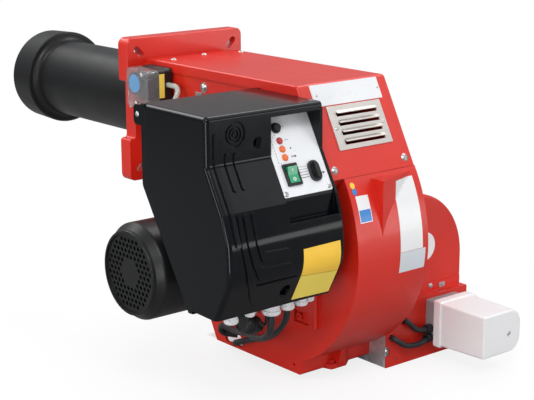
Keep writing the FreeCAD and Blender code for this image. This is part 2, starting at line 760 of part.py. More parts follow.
def motor_fan_cowl():
    shoulder = 9.0
    shell = turned_x([(cowl_end_x, cowl_face_r - 4), (cowl_end_x, cowl_face_r, 2.0),
                      (cowl_end_x + 6, cowl_face_r + 1.5), (cowl_end_x + shoulder + 8, cowl_r, 8.0),
                      (motor_body_end_x + cowl_seat, cowl_r, 1.0), (motor_body_end_x + cowl_seat, motor_r),
                      (motor_body_end_x, motor_r), (motor_body_end_x, cowl_r - cowl_wall),
                      (cowl_end_x + shoulder + 8, cowl_r - cowl_wall), (cowl_end_x + 7, cowl_face_r - 1),
                      (cowl_end_x + 6, cowl_face_r - 4)], fan_y, fan_z)
    face = rod((cowl_end_x + 3, fan_y, fan_z), AXIS_X, cowl_face_r - 2, 2.5)
    body = fused(shell, [face])
    step = 9.4
    holes = []
    for row in range(-6, 7):
        for col in range(-7, 8):
            y = (col + (row % 2) * 0.5) * step
            z = row * step * 0.86
            reach = math.hypot(y, z)
            if 20.0 < reach < 55.0:
                holes.append(rod((cowl_end_x, fan_y + y, fan_z + z), AXIS_X, 3.2, 12))
    return body.cut(holes)


def motor_shaft():
    body = rod((cool_fan_x - 10, fan_y, fan_z), AXIS_X, shaft_r, fan_disc_x + 34 - cool_fan_x + 10)
    return body.cut(rod((fan_disc_x + 18, fan_y, fan_z), AXIS_X, 2.5, 16))


def cooling_fan():
    hub = pipe((cool_fan_x - 6, fan_y, fan_z), AXIS_X, 15, shaft_r, 34)
    disc = pipe((cool_fan_x + 20, fan_y, fan_z), AXIS_X, cool_fan_r, shaft_r + 3, 2.5)
    blades = []
    for i in range(8):
        blade = box(cool_fan_x - 4, cool_fan_x + 21, fan_y + 12, fan_y + cool_fan_r, fan_z - 1.2, fan_z + 1.2)
        blade.rotate(Vector(0, fan_y, fan_z), Vector(1, 0, 0), 45 * i)
        blades.append(blade)
    return fused(hub, [disc] + blades)


def fan_impeller():
    inner = fan_r - 24
    eye = inlet_r + 4
    hub = pipe((fan_disc_x, fan_y, fan_z), AXIS_X, fan_hub_r, shaft_r, 34)
    disc = pipe((fan_disc_x, fan_y, fan_z), AXIS_X, fan_r, shaft_r + 3, 2.5)
    rim = pipe((fan_disc_x + fan_width - 2.5, fan_y, fan_z), AXIS_X, fan_r, eye, 2.5)
    blades = []
    for i in range(fan_blades):
        blade = Part.makeBox(fan_width - 1, 22.5, 1.6, Vector(fan_disc_x + 0.5, inner + 1, -0.8))
        blade.rotate(Vector(0, inner + 1, 0), Vector(1, 0, 0), 14)
        blade.rotate(Vector(0, 0, 0), Vector(1, 0, 0), 360.0 / fan_blades * i)
        blade.translate(Vector(0, fan_y, fan_z))
        blades.append(blade)
    return fused(hub, [disc, rim] + blades)


# Air intake: inlet cone, casing, lower box, damper and plug
def inlet_cone():
    bend_x = scroll_right - cast_wall - 10
    nose_x = fan_disc_x + fan_width + 2
    return turned_x([(scroll_right, inlet_flange_r), (scroll_right + sheet, inlet_flange_r),
                     (scroll_right + sheet, inlet_r + 5, 5.0), (bend_x, inlet_r - 2, 4.0),
                     (nose_x, inlet_r - 3), (nose_x, inlet_r - 1), (bend_x, inlet_r, 4.0),
                     (scroll_right, inlet_r + 6.5, 3.0)], fan_y, fan_z)


def intake_outline(inset):
    right = intake_right - inset
    top = intake_top_z - inset
    return [(scroll_right, intake_panel_z), (right, intake_panel_z),
            (right, top, intake_round - inset), (scroll_right, top)]


def intake_casing():
    front = fan_y - intake_half_y
    back = fan_y + intake_half_y
    body = prism_y(intake_outline(0), front, back)
    body = facing_fillet(body, 4.0, lambda e: abs(e.CenterOfMass.y - front) < 1e-3
                         and e.CenterOfMass.x > scroll_right + 2 and e.CenterOfMass.z > intake_panel_z + 2)
    inner = intake_outline(sheet)
    inner = [(u[0] - (1.0 if i in (0, 3) else 0), u[1] - (1.0 if i in (0, 1) else 0)) + tuple(u[2:])
             for i, u in enumerate(inner)]
    return body.cut(prism_y(inner, front + sheet, back - sheet))


def intake_base():
    """Galvanised lower box with its shelf beside the damper."""
    back = fan_y + intake_half_y
    left = scroll_right
    outer = box(left, intake_right, intake_panel_y + sheet, back, intake_bottom_z, intake_panel_z)
    inner = box(left + sheet, intake_right - sheet, intake_panel_y, back - sheet,
                intake_bottom_z - 1, intake_panel_z + 1)
    body = outer.cut(inner)
    shelf = box(left, damper_x - damper_half - 1.5, intake_panel_y + sheet, back, damper_z - 1, damper_z + 1)
    lip_front = box(left, intake_right, intake_panel_y + sheet, fan_y - intake_half_y, intake_panel_z - sheet,
                    intake_panel_z)
    body = fused(body, [shelf, lip_front])
    baffle = box(left, intake_right, intake_panel_y + sheet, flap_front_y - 2, damper_z - 1, damper_z + 1)
    body = fused(body, [baffle])
    body = body.cut(rod((damper_x, intake_panel_y, damper_z), AXIS_Y, damper_shaft_r + 6.5, 6))
    body = body.cut(rod((damper_x, intake_panel_y, damper_z), AXIS_Y, damper_shaft_r + 2.5,
                        flap_front_y - intake_panel_y))
    return body.cut(rod((damper_x, back - sheet - 1, damper_z), AXIS_Y, damper_shaft_r + 3, sheet + 2))


def intake_panel():
    """Red front panel of the lower box with the ledge on top of it."""
    left = scroll_right
    plate = box(left, intake_right, intake_panel_y, intake_panel_y + sheet, intake_bottom_z, intake_panel_z)
    notch = box(left - 1, left + 8, intake_panel_y - 1, intake_panel_y + sheet + 1, -367, -351)
    plate = plate.cut(notch)
    ledge = box(scroll_right, intake_right, intake_panel_y, fan_y - intake_half_y,
                intake_panel_z, intake_panel_z + sheet)
    slot = box(200, 240, intake_panel_y + 4, intake_panel_y + 8, intake_panel_z - 1, intake_panel_z + sheet + 1)
    upstand = box(scroll_right, intake_right - 4, fan_y - intake_half_y - sheet, fan_y - intake_half_y,
                  intake_panel_z, intake_panel_z + 16)
    body = fused(plate, [ledge.cut(slot), upstand])
    holes = [((damper_x, damper_z), damper_shaft_r + 4), ((110, -375), 2.5), ((128, -314), 6.2), ((100, -337), 5.8)]
    for (x, z), r in holes:
        body = body.cut(rod((x, intake_panel_y - 1, z), AXIS_Y, r, sheet + 2))
    return body.cut(intake_screws()[:2])


def intake_screws():
    fixings = [screw((200, fan_y - intake_half_y - sheet, intake_panel_z + 11), (0, -1, 0), 5.0, 2.6, 2.0, sheet),
               screw((scroll_right + 3.5, intake_panel_y + sheet, -359), (0, -1, 0), 4.2, 2.4, 1.0, 0.8)]
    pointer = box(218, 232, fan_y - intake_half_y - sheet - 1.5, fan_y - intake_half_y - sheet,
                  intake_panel_z + 5, intake_panel_z + 13)
    return fixings + [pointer]


def intake_plug():
    return rod((184, fan_y - intake_half_y - 1.5, -205), AXIS_Y, 24.0, 1.5)


def damper_flap():
    back = fan_y + intake_half_y
    plate = box(damper_x - damper_half, damper_x + damper_half, flap_front_y, back - 6,
                damper_z - 1, damper_z + 1)
    sleeve = rod((damper_x, flap_front_y, damper_z), AXIS_Y, damper_shaft_r + 2.5, back - 6 - flap_front_y)
    body = fused(plate, [sleeve])
    return body.cut(rod((damper_x, intake_panel_y, damper_z), AXIS_Y, damper_shaft_r, back - intake_panel_y))


def damper_shaft():
    back = fan_y + intake_half_y
    return rod((damper_x, intake_panel_y - servo_base_depth + 6, damper_z), AXIS_Y, damper_shaft_r,
               back + 4 - intake_panel_y + servo_base_depth - 6)


def damper_bearings():
    back = fan_y + intake_half_y
    front_bush = fused(pipe((damper_x, intake_panel_y, damper_z), AXIS_Y, damper_shaft_r + 4,
                            damper_shaft_r + run_gap, sheet),
                       [pipe((damper_x, intake_panel_y + sheet, damper_z), AXIS_Y, damper_shaft_r + 6,
                             damper_shaft_r + run_gap, 2.5)])
    back_bush = fused(pipe((damper_x, back - sheet, damper_z), AXIS_Y, damper_shaft_r + 3,
                           damper_shaft_r + run_gap, sheet),
                      [pipe((damper_x, back, damper_z), AXIS_Y, damper_shaft_r + 6,
                            damper_shaft_r + run_gap, 2.5)])
    return [front_bush, back_bush]


# Damper servo on the front panel
def servo_outline(grow, draft=0.0):
    left = servo_left - grow + draft
    right = servo_right + grow - draft
    top = servo_top + grow - draft
    bottom = servo_bottom - grow + draft
    return [(left, bottom, 3.0), (right, bottom, 24.0), (right, top, 24.0), (left, top, 3.0)]


servo_face_y = intake_panel_y - servo_base_depth


def servo_base():
    body = prism_y(servo_outline(-2.0), servo_face_y, intake_panel_y)
    body = body.cut(rod((damper_x, servo_face_y - 1, damper_z), AXIS_Y, damper_shaft_r + 4, servo_base_depth + 2))
    pocket = prism_y(servo_outline(-6.0), servo_face_y - 1, intake_panel_y - 5)
    boss = pipe((damper_x, servo_face_y + 6, damper_z), AXIS_Y, 14, damper_shaft_r + 4, servo_base_depth - 8)
    return fused(body.cut(pocket), [boss])


def servo_cover():
    rim = prism_y(servo_outline(servo_rim), servo_face_y - servo_rim_depth, servo_face_y)
    rim = facing_fillet(rim, 1.5, lambda e: abs(e.CenterOfMass.y - servo_face_y + servo_rim_depth) < 1e-3)
    back = servo_face_y - servo_rim_depth + 1
    front = servo_face_y - servo_cover_depth
    near = Part.Wire(outline(servo_outline(0.5), on_xz(back)).Edges)
    far = Part.Wire(outline(servo_outline(0.5, 2.0), on_xz(front)).Edges)
    hood = Part.makeLoft([near, far], True, True)
    hood = hood.makeFillet(2.5, [e for e in hood.Edges if abs(e.CenterOfMass.y - front) < 1e-3])
    body = fused(rim, [hood])
    inner = prism_y(servo_outline(-4.0), front + 3, servo_face_y + 1)
    body = body.cut(inner)
    body = body.cut(rod((servo_mid_x, front - 1, servo_screw_z), AXIS_Y, 4.5, 2.6))
    return body.cut(servo_screw())


def servo_screw():
    front = servo_face_y - servo_cover_depth
    return screw((servo_mid_x, front + 1.6, servo_screw_z), (0, -1, 0), 3.8, 1.4, 1.5, 1.4)


def servo_gear_motor():
    """Synchronous motor and gears that turn the damper shaft, under the cover."""
    block = box(servo_left + 12, servo_right - 14, servo_face_y - 78, servo_face_y, -350, -298)
    block = block.makeFillet(3.0, [e for e in block.Edges if abs(e.CenterOfMass.y - servo_face_y + 78) < 1e-3])
    return block.cut(rod((damper_x, servo_face_y - 12, damper_z), AXIS_Y, damper_shaft_r + run_gap, 13))


def servo_glands():
    return [pipe((servo_left - 9, y, z), AXIS_X, servo_cable_r + 3, servo_cable_r, 11) for y, z in servo_entries]


# Electrical box: front profile, bent back and bottom
front_path = [(box_back_y, box_top), (box_front_y, box_top), (box_front_y, 5.0), (-510.6, -55.0),
              (-524.5, -97.0), (-527.0, -147.0), (-495.0, -206.0)]
front_radii = [0, 6.0, 10.0, 14.0, 45.0, 60.0, 0]
back_path = [(box_back_y, box_top), (box_back_y, -44.0), (-431.0, -209.0)]
slant = (front_path[2][0] - front_path[3][0]) / (front_path[2][1] - front_path[3][1])


def with_radii(path, radii):
    return [(p[0], p[1], r) for p, r in zip(path, radii)]


def box_profile(inset, ahead):
    """YZ outline of the box, inset from the front and starting ahead of the back path."""
    front = with_radii(shifted(front_path, -inset), front_radii)
    back = shifted(back_path, ahead)
    last = back[-1]
    lean = (back_path[1][0] - back_path[2][0]) / (back_path[1][1] - back_path[2][1])
    return front[1:-1] + [(front[-1][0], front[-1][1] + inset), (last[0] + inset * lean, last[1] + inset),
                          (back[1][0], back[1][1], 12.0), (back[0][0], box_top - inset)]


slant_top_z = front_path[2][1]
front_most_y = min(y for y, z in front_path)


def front_depth(z):
    """Y of the box's front face at a height, its corner rounding left out."""
    runs = zip(front_path[1:], front_path[2:])
    (y0, z0), (y1, z1) = [run for run in runs if run[1][1] <= z][0]
    return y0 + (y1 - y0) * (z0 - z) / (z0 - z1)


def panel_depth(z):
    """Y of the sloping floor of the panel recess."""
    return box_front_y - (slant_top_z - z) * slant + recess_depth


well_floor_y = front_depth(cover_screw_z) + well_depth


panel_way = Vector(0, -slant, -1).normalize()
panel_out = Vector(0, panel_way.z, -panel_way.y)


def on_panel(x, down, out=0.0):
    return Vector(x, panel_depth(panel_top_z), panel_top_z) + panel_way * down + panel_out * out


def panel_plate(x0, x1, down0, down1, out0, out1, corner_r=0.0):
    place = lambda p: on_panel(p.x, p.y, out0)
    face = Part.Face(outline(rounded_rect(x0, x1, down0, down1, corner_r), place))
    return face.extrude(panel_out * (out1 - out0))


def panel_disc(x, down, out0, out1, radius):
    return Part.makeCylinder(radius, out1 - out0, on_panel(x, down, out0), panel_out)


def front_band(points):
    """Raised band that follows the front of the box inside an outline of (x, z, radius) corners."""
    path = [(box_front_y, box_top - 10)] + front_path[2:]
    radii = [0] + front_radii[2:]
    outer = with_radii(shifted(path, rib_proud), radii)
    inner = with_radii(shifted(path, -1.0), radii)
    strip = prism_x(outer + list(reversed(inner)), box_left, box_right)
    return strip.common(prism_y(points, front_most_y - 20, box_back_y))


# The raised bands of the cover, from the box's edge inwards
bands = [rounded_rect(-286.0, -278.0, -98.0, 50.0, 3.0),
         rounded_rect(-267.0, -259.5, -28.5, 21.0, 3.5),
         rounded_rect(-252.0, -244.5, -28.0, 20.5, 3.5),
         [(-275.0, -57, 2), (-270.5, -57, 2), (-273, -97, 20), (-262, -137, 20), (-252, -159, 10), (-173, -159, 4),
          (-173, -198, 4), (-236, -198, 12), (-252, -181, 20), (-268, -150, 30), (-277, -100, 30)],
         [(-264.5, -57, 3), (-257, -57, 3), (-259, -95, 20), (-252, -124, 15), (-240, -133, 8), (-191, -134, 3),
          (-189, -153, 3), (-247, -153, 12), (-259, -127, 20), (-266, -97, 20)],
         [(-251, -57, 3), (-243.5, -57, 3), (-243.5, -97, 15), (-238, -111.5, 6), (-195, -112.5, 3),
          (-192, -126.5, 3), (-243, -126.5, 10), (-251, -98, 15)]]


def control_box_cover():
    outer = prism_x(box_profile(0, box_base_depth), box_left, box_right)
    sides = [e for e in outer.Edges if min(abs(e.CenterOfMass.x - box_left), abs(e.CenterOfMass.x - box_right)) < 1e-3
             and is_front_edge(e)]
    outer = outer.makeFillet(box_edge_r, sides)
    outer = fused(outer, [front_band(points) for points in bands])
    inner = prism_x(box_profile(box_wall, -20), box_left + box_wall, box_right - box_wall)
    body = outer.cut(inner)
    top = panel_top_z + box_wall
    foot = recess_foot_z - box_wall
    bend_y = panel_depth(recess_bend_z)
    tub = prism_x([(panel_depth(top) + 2.5, top), (box_front_y + 1, top), (box_front_y + 1, slant_top_z),
                   (front_path[3][0] + 1, front_path[3][1]), (front_depth(foot) + 1, foot), (bend_y + 2.5, foot),
                   (bend_y + 2.5, recess_bend_z)], panel_x0 - box_wall, box_right - 1)
    body = fused(body, [tub])
    ahead = front_most_y - 40
    recess = prism_x([(panel_depth(panel_top_z), panel_top_z), (ahead, panel_top_z), (ahead, recess_foot_z),
                      (bend_y, recess_foot_z), (bend_y, recess_bend_z)], panel_x0, panel_x1 + 1)
    body = body.cut(recess)
    body = body.cut(box(box_left + box_wall, box_right - box_wall, -485.5, -400, floor_bottom - 10,
                        floor_bottom + box_wall))
    body = body.cut(rod((boss_x, box_front_y - 1, boss_z), AXIS_Y, 18, 3.2))
    rings = [pipe((boss_x, box_front_y, boss_z), AXIS_Y, r, r - 2.4, 2.6) for r in (13.5, 8.5)]
    rings.append(rod((boss_x, box_front_y + 0.4, boss_z), AXIS_Y, 3.4, 2.2))
    body = fused(body, [pipe((boss_x, box_front_y + 2.0, boss_z), AXIS_Y, 20.5, 0.5, 2.5)] + rings)
    dimple = Part.makeCylinder(8.5, 14, Vector(-207.5, box_front_y + 1.5, 28.0), Vector(-0.45, -1, 0.1))
    body = body.cut(dimple)
    body = fused(body, [rod((cover_screw_x, well_floor_y - well_depth + 1, cover_screw_z), AXIS_Y, well_r + box_wall,
                            well_depth + box_wall)])
    body = body.cut(rod((cover_screw_x, well_floor_y - 4 * well_depth, cover_screw_z), AXIS_Y, well_r, 4 * well_depth))
    for x, down, r in control_holes:
        body = body.cut(panel_disc(x, down, -6, 1, r))
    body = body.cut(rocker_opening(rocker_well_w, rocker_well_h, -6, 1))
    return body.cut(box_screws())


def is_front_edge(edge):
    """True away from the open back of the cover."""
    p = edge.CenterOfMass
    clear = box_base_depth + 6
    if p.z > box_top - 3:
        return p.y < box_back_y - clear
    return p.y < -460 and p.z > -203


def control_box_base():
    """Bent back plate with its rim, the bottom plate and the fixing ears."""
    rim = prism_x(box_profile(0, 0), box_left, box_right).cut(
        prism_x(box_profile(-30, box_base_depth), box_left - 1, box_right + 1))
    hollow = prism_x(box_profile(box_wall, box_wall), box_left + box_wall, box_right - box_wall)
    body = rim.cut(hollow)
    floor = box(box_left + box_wall + 0.2, box_right - box_wall - 0.2, -485.2, -429.0, floor_bottom,
                floor_bottom + box_wall)
    body = fused(body, [floor])
    ear = box(box_left, box_left + box_wall, box_back_y - 2, box_back_y + 18, 42, 71)
    ear = ear.makeFillet(6.0, [e for e in ear.Edges if abs(e.CenterOfMass.y - box_back_y - 18) < 1e-3
                               and abs(abs(e.tangentAt(e.FirstParameter).x) - 1) < 1e-3])
    lugs = [box(box_right - 1, -casting_half, box_back_y - 8, box_back_y - 1, z, z + 16) for z in (-30, 30)]
    body = fused(body, [ear] + lugs)
    for x, y, r, _, _ in glands:
        body = body.cut(rod((x, y, floor_bottom - 1), AXIS_Z, r * gland_neck, box_wall + 2))
    x, y = thin_cable_place
    body = body.cut(rod((x, y, floor_bottom - 5), AXIS_Z, thin_cable_r, box_wall + 6))
    return body.cut(box_screws())


def cable_glands():
    bodies = []
    for x, y, r, high, bore in glands:
        nut = prism_z([(x + r * math.cos(math.radians(a)), y + r * math.sin(math.radians(a)))
                       for a in range(0, 360, 60)], floor_bottom - high * 0.45, floor_bottom)
        dome = rod((x, y, floor_bottom - high), AXIS_Z, r * 0.86, high * 0.6)
        dome = dome.makeFillet(r * 0.28, [e for e in dome.Edges if abs(e.CenterOfMass.z - floor_bottom + high) < 1e-3])
        neck = rod((x, y, floor_bottom - 1), AXIS_Z, r * gland_neck, 8)
        lock = rod((x, y, floor_bottom + box_wall), AXIS_Z, r * 0.9, 3)
        body = fused(nut, [dome, neck, lock])
        if bore:
            body = body.cut(rod((x, y, floor_bottom - high - 1), AXIS_Z, bore, high + 12))
        bodies.append(body)
    return bodies


def control_panel():
    plate = panel_plate(panel_x0 + 0.3, panel_x1 + 0.7, 1.4, panel_long, 0, panel_thick, 3.0)
    for x, down, r in control_holes:
        plate = plate.cut(panel_disc(x, down, -1, panel_thick + 1, r))
    plate = plate.cut(rocker_opening(rocker_well_w, rocker_well_h, -1, panel_thick + 1))
    return plate.cut(box_screws())


def box_screws():
    """Two screws of the panel, one of the cover and one of the rear ear."""
    fixings = [screw(on_panel(x, d, panel_thick), panel_out, 4.0, 1.6, 1.5, 4.0) for x, d in panel_screw_places]
    fixings.append(screw((cover_screw_x, well_floor_y, cover_screw_z), (0, -1, 0), 5.5, 2.5, 2.0, 4.0))
    fixings.append(screw((box_left, box_back_y + 9, 57), (-1, 0, 0), 4.0, 2.2, 1.5, box_wall))
    return fixings


def top_edge(solid, x, down):
    """Edge of a control that stands furthest off the panel."""
    return max(solid.Edges, key=lambda e: (e.CenterOfMass - on_panel(x, down)).dot(panel_out))


def indicator_lamps():
    lenses = []
    for x, down in lamps:
        lens = panel_disc(x, down, panel_thick, panel_thick + 2.6, lamp_r)
        lens = lens.makeFillet(1.6, [top_edge(lens, x, down)])
        lenses.append(fused(lens, [panel_disc(x, down, -8, panel_thick, 3.5)]))
    return lenses


def rocker_opening(half_w, half_h, out0, out1, corner_r=0.0):
    """Block about the rocker's middle with the given half sizes."""
    return panel_plate(rocker_x - half_w, rocker_x + half_w, rocker_down - half_h, rocker_down + half_h,
                       out0, out1, corner_r)


def rocker_bezel():
    frame = rocker_opening(rocker_half_w, rocker_half_h, panel_thick, panel_thick + 3.5, 1.0)
    well = rocker_opening(rocker_well_w - 0.2, rocker_well_h - 0.2, -18, panel_thick)
    frame = fused(frame, [well])
    frame = frame.cut(rocker_opening(rocker_key_w + 0.4, rocker_key_h + 1.0, -15, panel_thick + 4))
    return frame.cut(rocker_pin(rocker_pin_r + run_gap, rocker_well_w + 0.4))


def rocker_pin(radius, reach):
    place = on_panel(rocker_x - reach, rocker_down, rocker_axis_out)
    return Part.makeCylinder(radius, 2 * reach, place, Vector(1, 0, 0))


def rocker_key():
    """Two-faced key tilted to its ON side, on pins that run across the panel."""
    end = rocker_key_h
    corners = [(-end, 1.2), (-end, 5.2), (0, 2.6), (end, 5.2), (end, 1.2), (3.0, -4.5), (-3.0, -4.5)]
    points = [on_panel(rocker_x - rocker_key_w, rocker_down + d, rocker_axis_out + h) for d, h in corners]
    body = Part.Face(Part.makePolygon(points + [points[0]])).extrude(Vector(2 * rocker_key_w, 0, 0))
    body.rotate(on_panel(rocker_x, rocker_down, rocker_axis_out), Vector(1, 0, 0), rocker_tilt)
    return fused(body, [rocker_pin(rocker_pin_r, rocker_well_w - 0.2)])


def selector_bezel():
    frame = panel_plate(selector_x - 9.5, selector_x + 9.5, selector_down - 15.5, selector_down + 15.5,
                        panel_thick, panel_thick + 4.0, 9.4)
    frame = fused(frame, [panel_disc(selector_x, selector_down, -12, panel_thick, 8.0)])
    cut = panel_plate(selector_x - 6.6, selector_x + 6.6, selector_down - 12.6, selector_down + 12.6,
                      panel_thick + 1.5, panel_thick + 5, 6.5)
    return frame.cut([cut, panel_disc(selector_x, selector_down, -13, panel_thick + 2, 4.0 + run_gap)])


def selector_lever():
    spindle = panel_disc(selector_x, selector_down, -14, panel_thick + 3, 4.0)
    collar = panel_disc(selector_x, selector_down, panel_thick + 1.6, panel_thick + 4.4, 5.6)
    bar = panel_plate(selector_x - 2.2, selector_x + 2.2, selector_down - 11.5, selector_down + 11.5,
                      panel_thick + 4.2, panel_thick + 9.0, 2.1)
    return fused(spindle, [collar, bar])


def reset_button():
    cap = panel_disc(reset_x, reset_down, panel_thick + 0.7 + reset_travel, panel_thick + 7.0, 6.0)
    cap = cap.makeFillet(1.2, [top_edge(cap, reset_x, reset_down)])
    return fused(cap, [panel_disc(reset_x, reset_down, -12, panel_thick + 4, 4.0)])


def reset_bezel():
    ring = panel_disc(reset_x, reset_down, panel_thick, panel_thick + 3.0, 7.6)
    ring = fused(ring, [panel_disc(reset_x, reset_down, -8, panel_thick, 6.0)])
    return ring.cut([panel_disc(reset_x, reset_down, -9, panel_thick + 4, 4.0 + run_gap),
                     panel_disc(reset_x, reset_down, panel_thick + 0.5, panel_thick + 4, 6.2)])


# Equipment inside the electrical box
back_plate_y = box_back_y - box_wall


def burner_controller():
    deep = 59.0
    body = box(-270, -200, back_plate_y - deep, back_plate_y, -10, 52)
    body = body.makeFillet(3.0, [e for e in body.Edges if abs(e.CenterOfMass.y - back_plate_y + deep) < 1e-3])
    base = box(-274, -196, back_plate_y - 16, back_plate_y, -14, 56)
    return fused(body, [base])


def terminal_strip():
    pitch = 14.0
    rail_deep = 5.0
    block_deep = 18.0
    rail = box(-285, -105, back_plate_y - rail_deep, back_plate_y, -36, -24)
    blocks = [box(-280 + i * pitch, -268 + i * pitch, back_plate_y - rail_deep - block_deep, back_plate_y - rail_deep,
                  -40, -20) for i in range(12)]
    return fused(rail, blocks)


def ignition_transformer():
    deep = 69.0
    body = box(-176, -112, back_plate_y - deep, back_plate_y, -2, 46)
    body = body.makeFillet(4.0, [e for e in body.Edges if abs(e.tangentAt(e.FirstParameter).y) > 0.99])
    posts = [rod((x, back_plate_y - deep - 12, 22), AXIS_Y, 6, 12) for x in (-158, -130)]
    return fused(body, posts)


# Air pressure switch: body, clear cover, dial, adapter and hose
switch_back_y = switch_front_y + switch_depth_y
switch_mid_y = switch_front_y + switch_depth_y / 2
switch_top = switch_bottom + switch_height
switch_body_left = switch_left + 22.0
switch_screw_places = [(switch_front_y + 18, switch_top - 9), (switch_front_y + 35, switch_bottom + 11)]
switch_step_x = switch_body_left + 13.0
spigot_x = switch_step_x + 7.0
spigot_z = switch_bottom + 40.0


def pressure_switch_body():
    """Deep body in two steps, with the core, the dial post and the hose spigot."""
    right = -casting_half - 4.0
    plate = prism_x(rounded_rect(switch_front_y + 2, switch_back_y - 2, switch_bottom + 12, switch_top - 3, 5.0),
                    switch_body_left, switch_step_x)
    body = prism_x(rounded_rect(switch_front_y + 3.5, switch_back_y + 6, switch_bottom + 6, switch_top - 1.5, 7.0),
                   switch_step_x, right)
    body = facing_fillet(body, 2.0, lambda e: abs(e.CenterOfMass.x - switch_step_x) < 1e-3)
    core = box(switch_left + 6, switch_body_left, switch_front_y + 10, dial_y - dial_r - 2, switch_bottom + 20,
               switch_top - 18)
    post = rod((switch_left + 5, dial_y, dial_z), AXIS_X, 5.0, switch_body_left - switch_left - 5)
    spigot = rod((spigot_x, switch_front_y - 6, spigot_z), AXIS_Y, nipple_r, 14)
    body = fused(plate, [body, core, post, spigot])
    return body.cut([rod((switch_left + 4, dial_y, dial_z), AXIS_X, 2.0 + run_gap, 14),
                     rod((spigot_x, switch_front_y - 7, spigot_z), AXIS_Y, nipple_r - 1.5, 14)])


def pressure_switch_cover():
    outer = [(switch_front_y, switch_bottom + 12, 6), (switch_back_y - 10, switch_bottom, 5),
             (switch_back_y, switch_bottom + 6, 5), (switch_back_y, switch_top, 9),
             (switch_front_y, switch_top - 3, 7)]
    inner = [(switch_front_y + 2, switch_bottom + 14, 4), (switch_back_y - 11, switch_bottom + 2, 3),
             (switch_back_y - 2, switch_bottom + 8, 3), (switch_back_y - 2, switch_top - 2, 7),
             (switch_front_y + 2, switch_top - 5, 5)]
    shell = prism_x(outer, switch_left, switch_body_left)
    shell = facing_fillet(shell, 1.5, lambda e: abs(e.CenterOfMass.x - switch_left) < 1e-3)
    shell = shell.cut(prism_x(inner, switch_left + 2, switch_body_left + 1))
    posts = [rod((switch_left + 1, y, z), AXIS_X, 4.0, switch_body_left - switch_left - 1)
             for y, z in switch_screw_places]
    return fused(shell, posts).cut(switch_screws())


def switch_screws():
    return [screw((switch_left, y, z), (-1, 0, 0), 3.2, 1.8, 1.4, 10) for y, z in switch_screw_places]


def pressure_dial():
    disc = rod((switch_left + 2.4, dial_y, dial_z), AXIS_X, dial_r, 2.2)
    return fused(disc, [rod((switch_left + 4, dial_y, dial_z), AXIS_X, 2.0, 8)])


def switch_adapter():
    right = -casting_half
    left = right - 4.0
    plate = prism_x(rounded_rect(switch_mid_y - 20, switch_mid_y + 20, switch_bottom + 18, switch_bottom + 58, 5.0),
                    left, right)
    return plate.cut(rod((left - 1, switch_mid_y, switch_bottom + 38), AXIS_X, 4.0, 6))


def pressure_hose():
    """Short clear hose from the switch to the casing."""
    y0 = switch_front_y + 3.5
    x1 = -casting_half - 1
    bend_x = spigot_x - 14
    points = [(spigot_x, y0, spigot_z), (spigot_x, nipple_y - 4, spigot_z), (bend_x, nipple_y, nipple_z),
              (x1, nipple_y, nipple_z)]
    return cable(points, nipple_r + 1.3).cut(cable(points, nipple_r))


# Gas inlet elbow in the neck, with its square flange outside
def gas_inlet_elbow():
    outer = gas_bore_r + gas_tube_wall
    arm = rod((-8, gas_y, 0), AXIS_X, outer, gas_face_x + 8)
    sleeve = rod((0, gas_y - 52, 0), AXIS_Y, outer, 92)
    flange = prism_x(rounded_rect(gas_y - gas_flange_half, gas_y + gas_flange_half, -gas_flange_half,
                                  gas_flange_half, 12.0), gas_face_x - gas_flange_thick, gas_face_x)
    body = fused(arm, [sleeve, flange])
    body = body.cut(rod((0, gas_y, 0), AXIS_X, gas_inner_r, gas_face_x))
    body = body.cut(rod((gas_face_x - gas_thread_long, gas_y, 0), AXIS_X, gas_bore_r, gas_thread_long))
    body = body.cut(rod((0, gas_y - 47, 0), AXIS_Y, gas_pipe_r + run_gap, 90))
    body = body.cut(rod((0, gas_y - 53, 0), AXIS_Y, rod_r + run_gap, 8))
    spread = gas_flange_half - 10
    for dy in (-spread, spread):
        for dz in (-spread, spread):
            body = body.cut(rod((gas_face_x - gas_flange_thick, gas_y + dy, dz), AXIS_X, 4.25, gas_flange_thick))
    collar = pipe((casting_half, gas_y, 0), AXIS_X, outer + 10, outer - 1, 6.0)
    return fused(body, [collar])


def gas_distributor():
    tube = turned_y([(gas_pipe_r - gas_pipe_wall, pipe_start_y), (gas_pipe_r, pipe_start_y),
                     (gas_pipe_r, pipe_end_y - 12), (distributor_r, pipe_end_y + 8),
                     (distributor_r, distributor_end_y), (0, distributor_end_y), (0, distributor_end_y - 3),
                     (distributor_r - 2, distributor_end_y - 3), (distributor_r - 2, pipe_end_y + 9),
                     (gas_pipe_r - gas_pipe_wall, pipe_end_y - 10)])
    window = box(4, 40, gas_y - 15, gas_y + 15, -13, 13)
    body = tube.cut(window)
    spider = pipe((0, pipe_start_y, 0), AXIS_Y, gas_pipe_r - gas_pipe_wall + 0.5, rod_r, 5)
    body = fused(body, [spider])
    jets = []
    for i in range(10):
        turn = math.radians(36 * i)
        jets.append(Part.makeCylinder(3.0, 6, Vector(0, distributor_end_y - 14, 0)
                                      + Vector(math.cos(turn), 0, math.sin(turn)) * (distributor_r - 4),
                                      Vector(math.cos(turn), 0, math.sin(turn))))
    return body.cut(jets)


def head_adjuster():
    """Graduated rod that carries the gas pipe back and forth, with its knob."""
    start = gas_y - 52 - head_travel - 34
    body = rod((0, start, 0), AXIS_Y, rod_r, pipe_start_y + 5 - start)
    knob = rod((0, start - 2, 0), AXIS_Y, 11, 14)
    knob = knob.makeFillet(1.5, [e for e in knob.Edges if e.Length > 40])
    return fused(body, [knob])


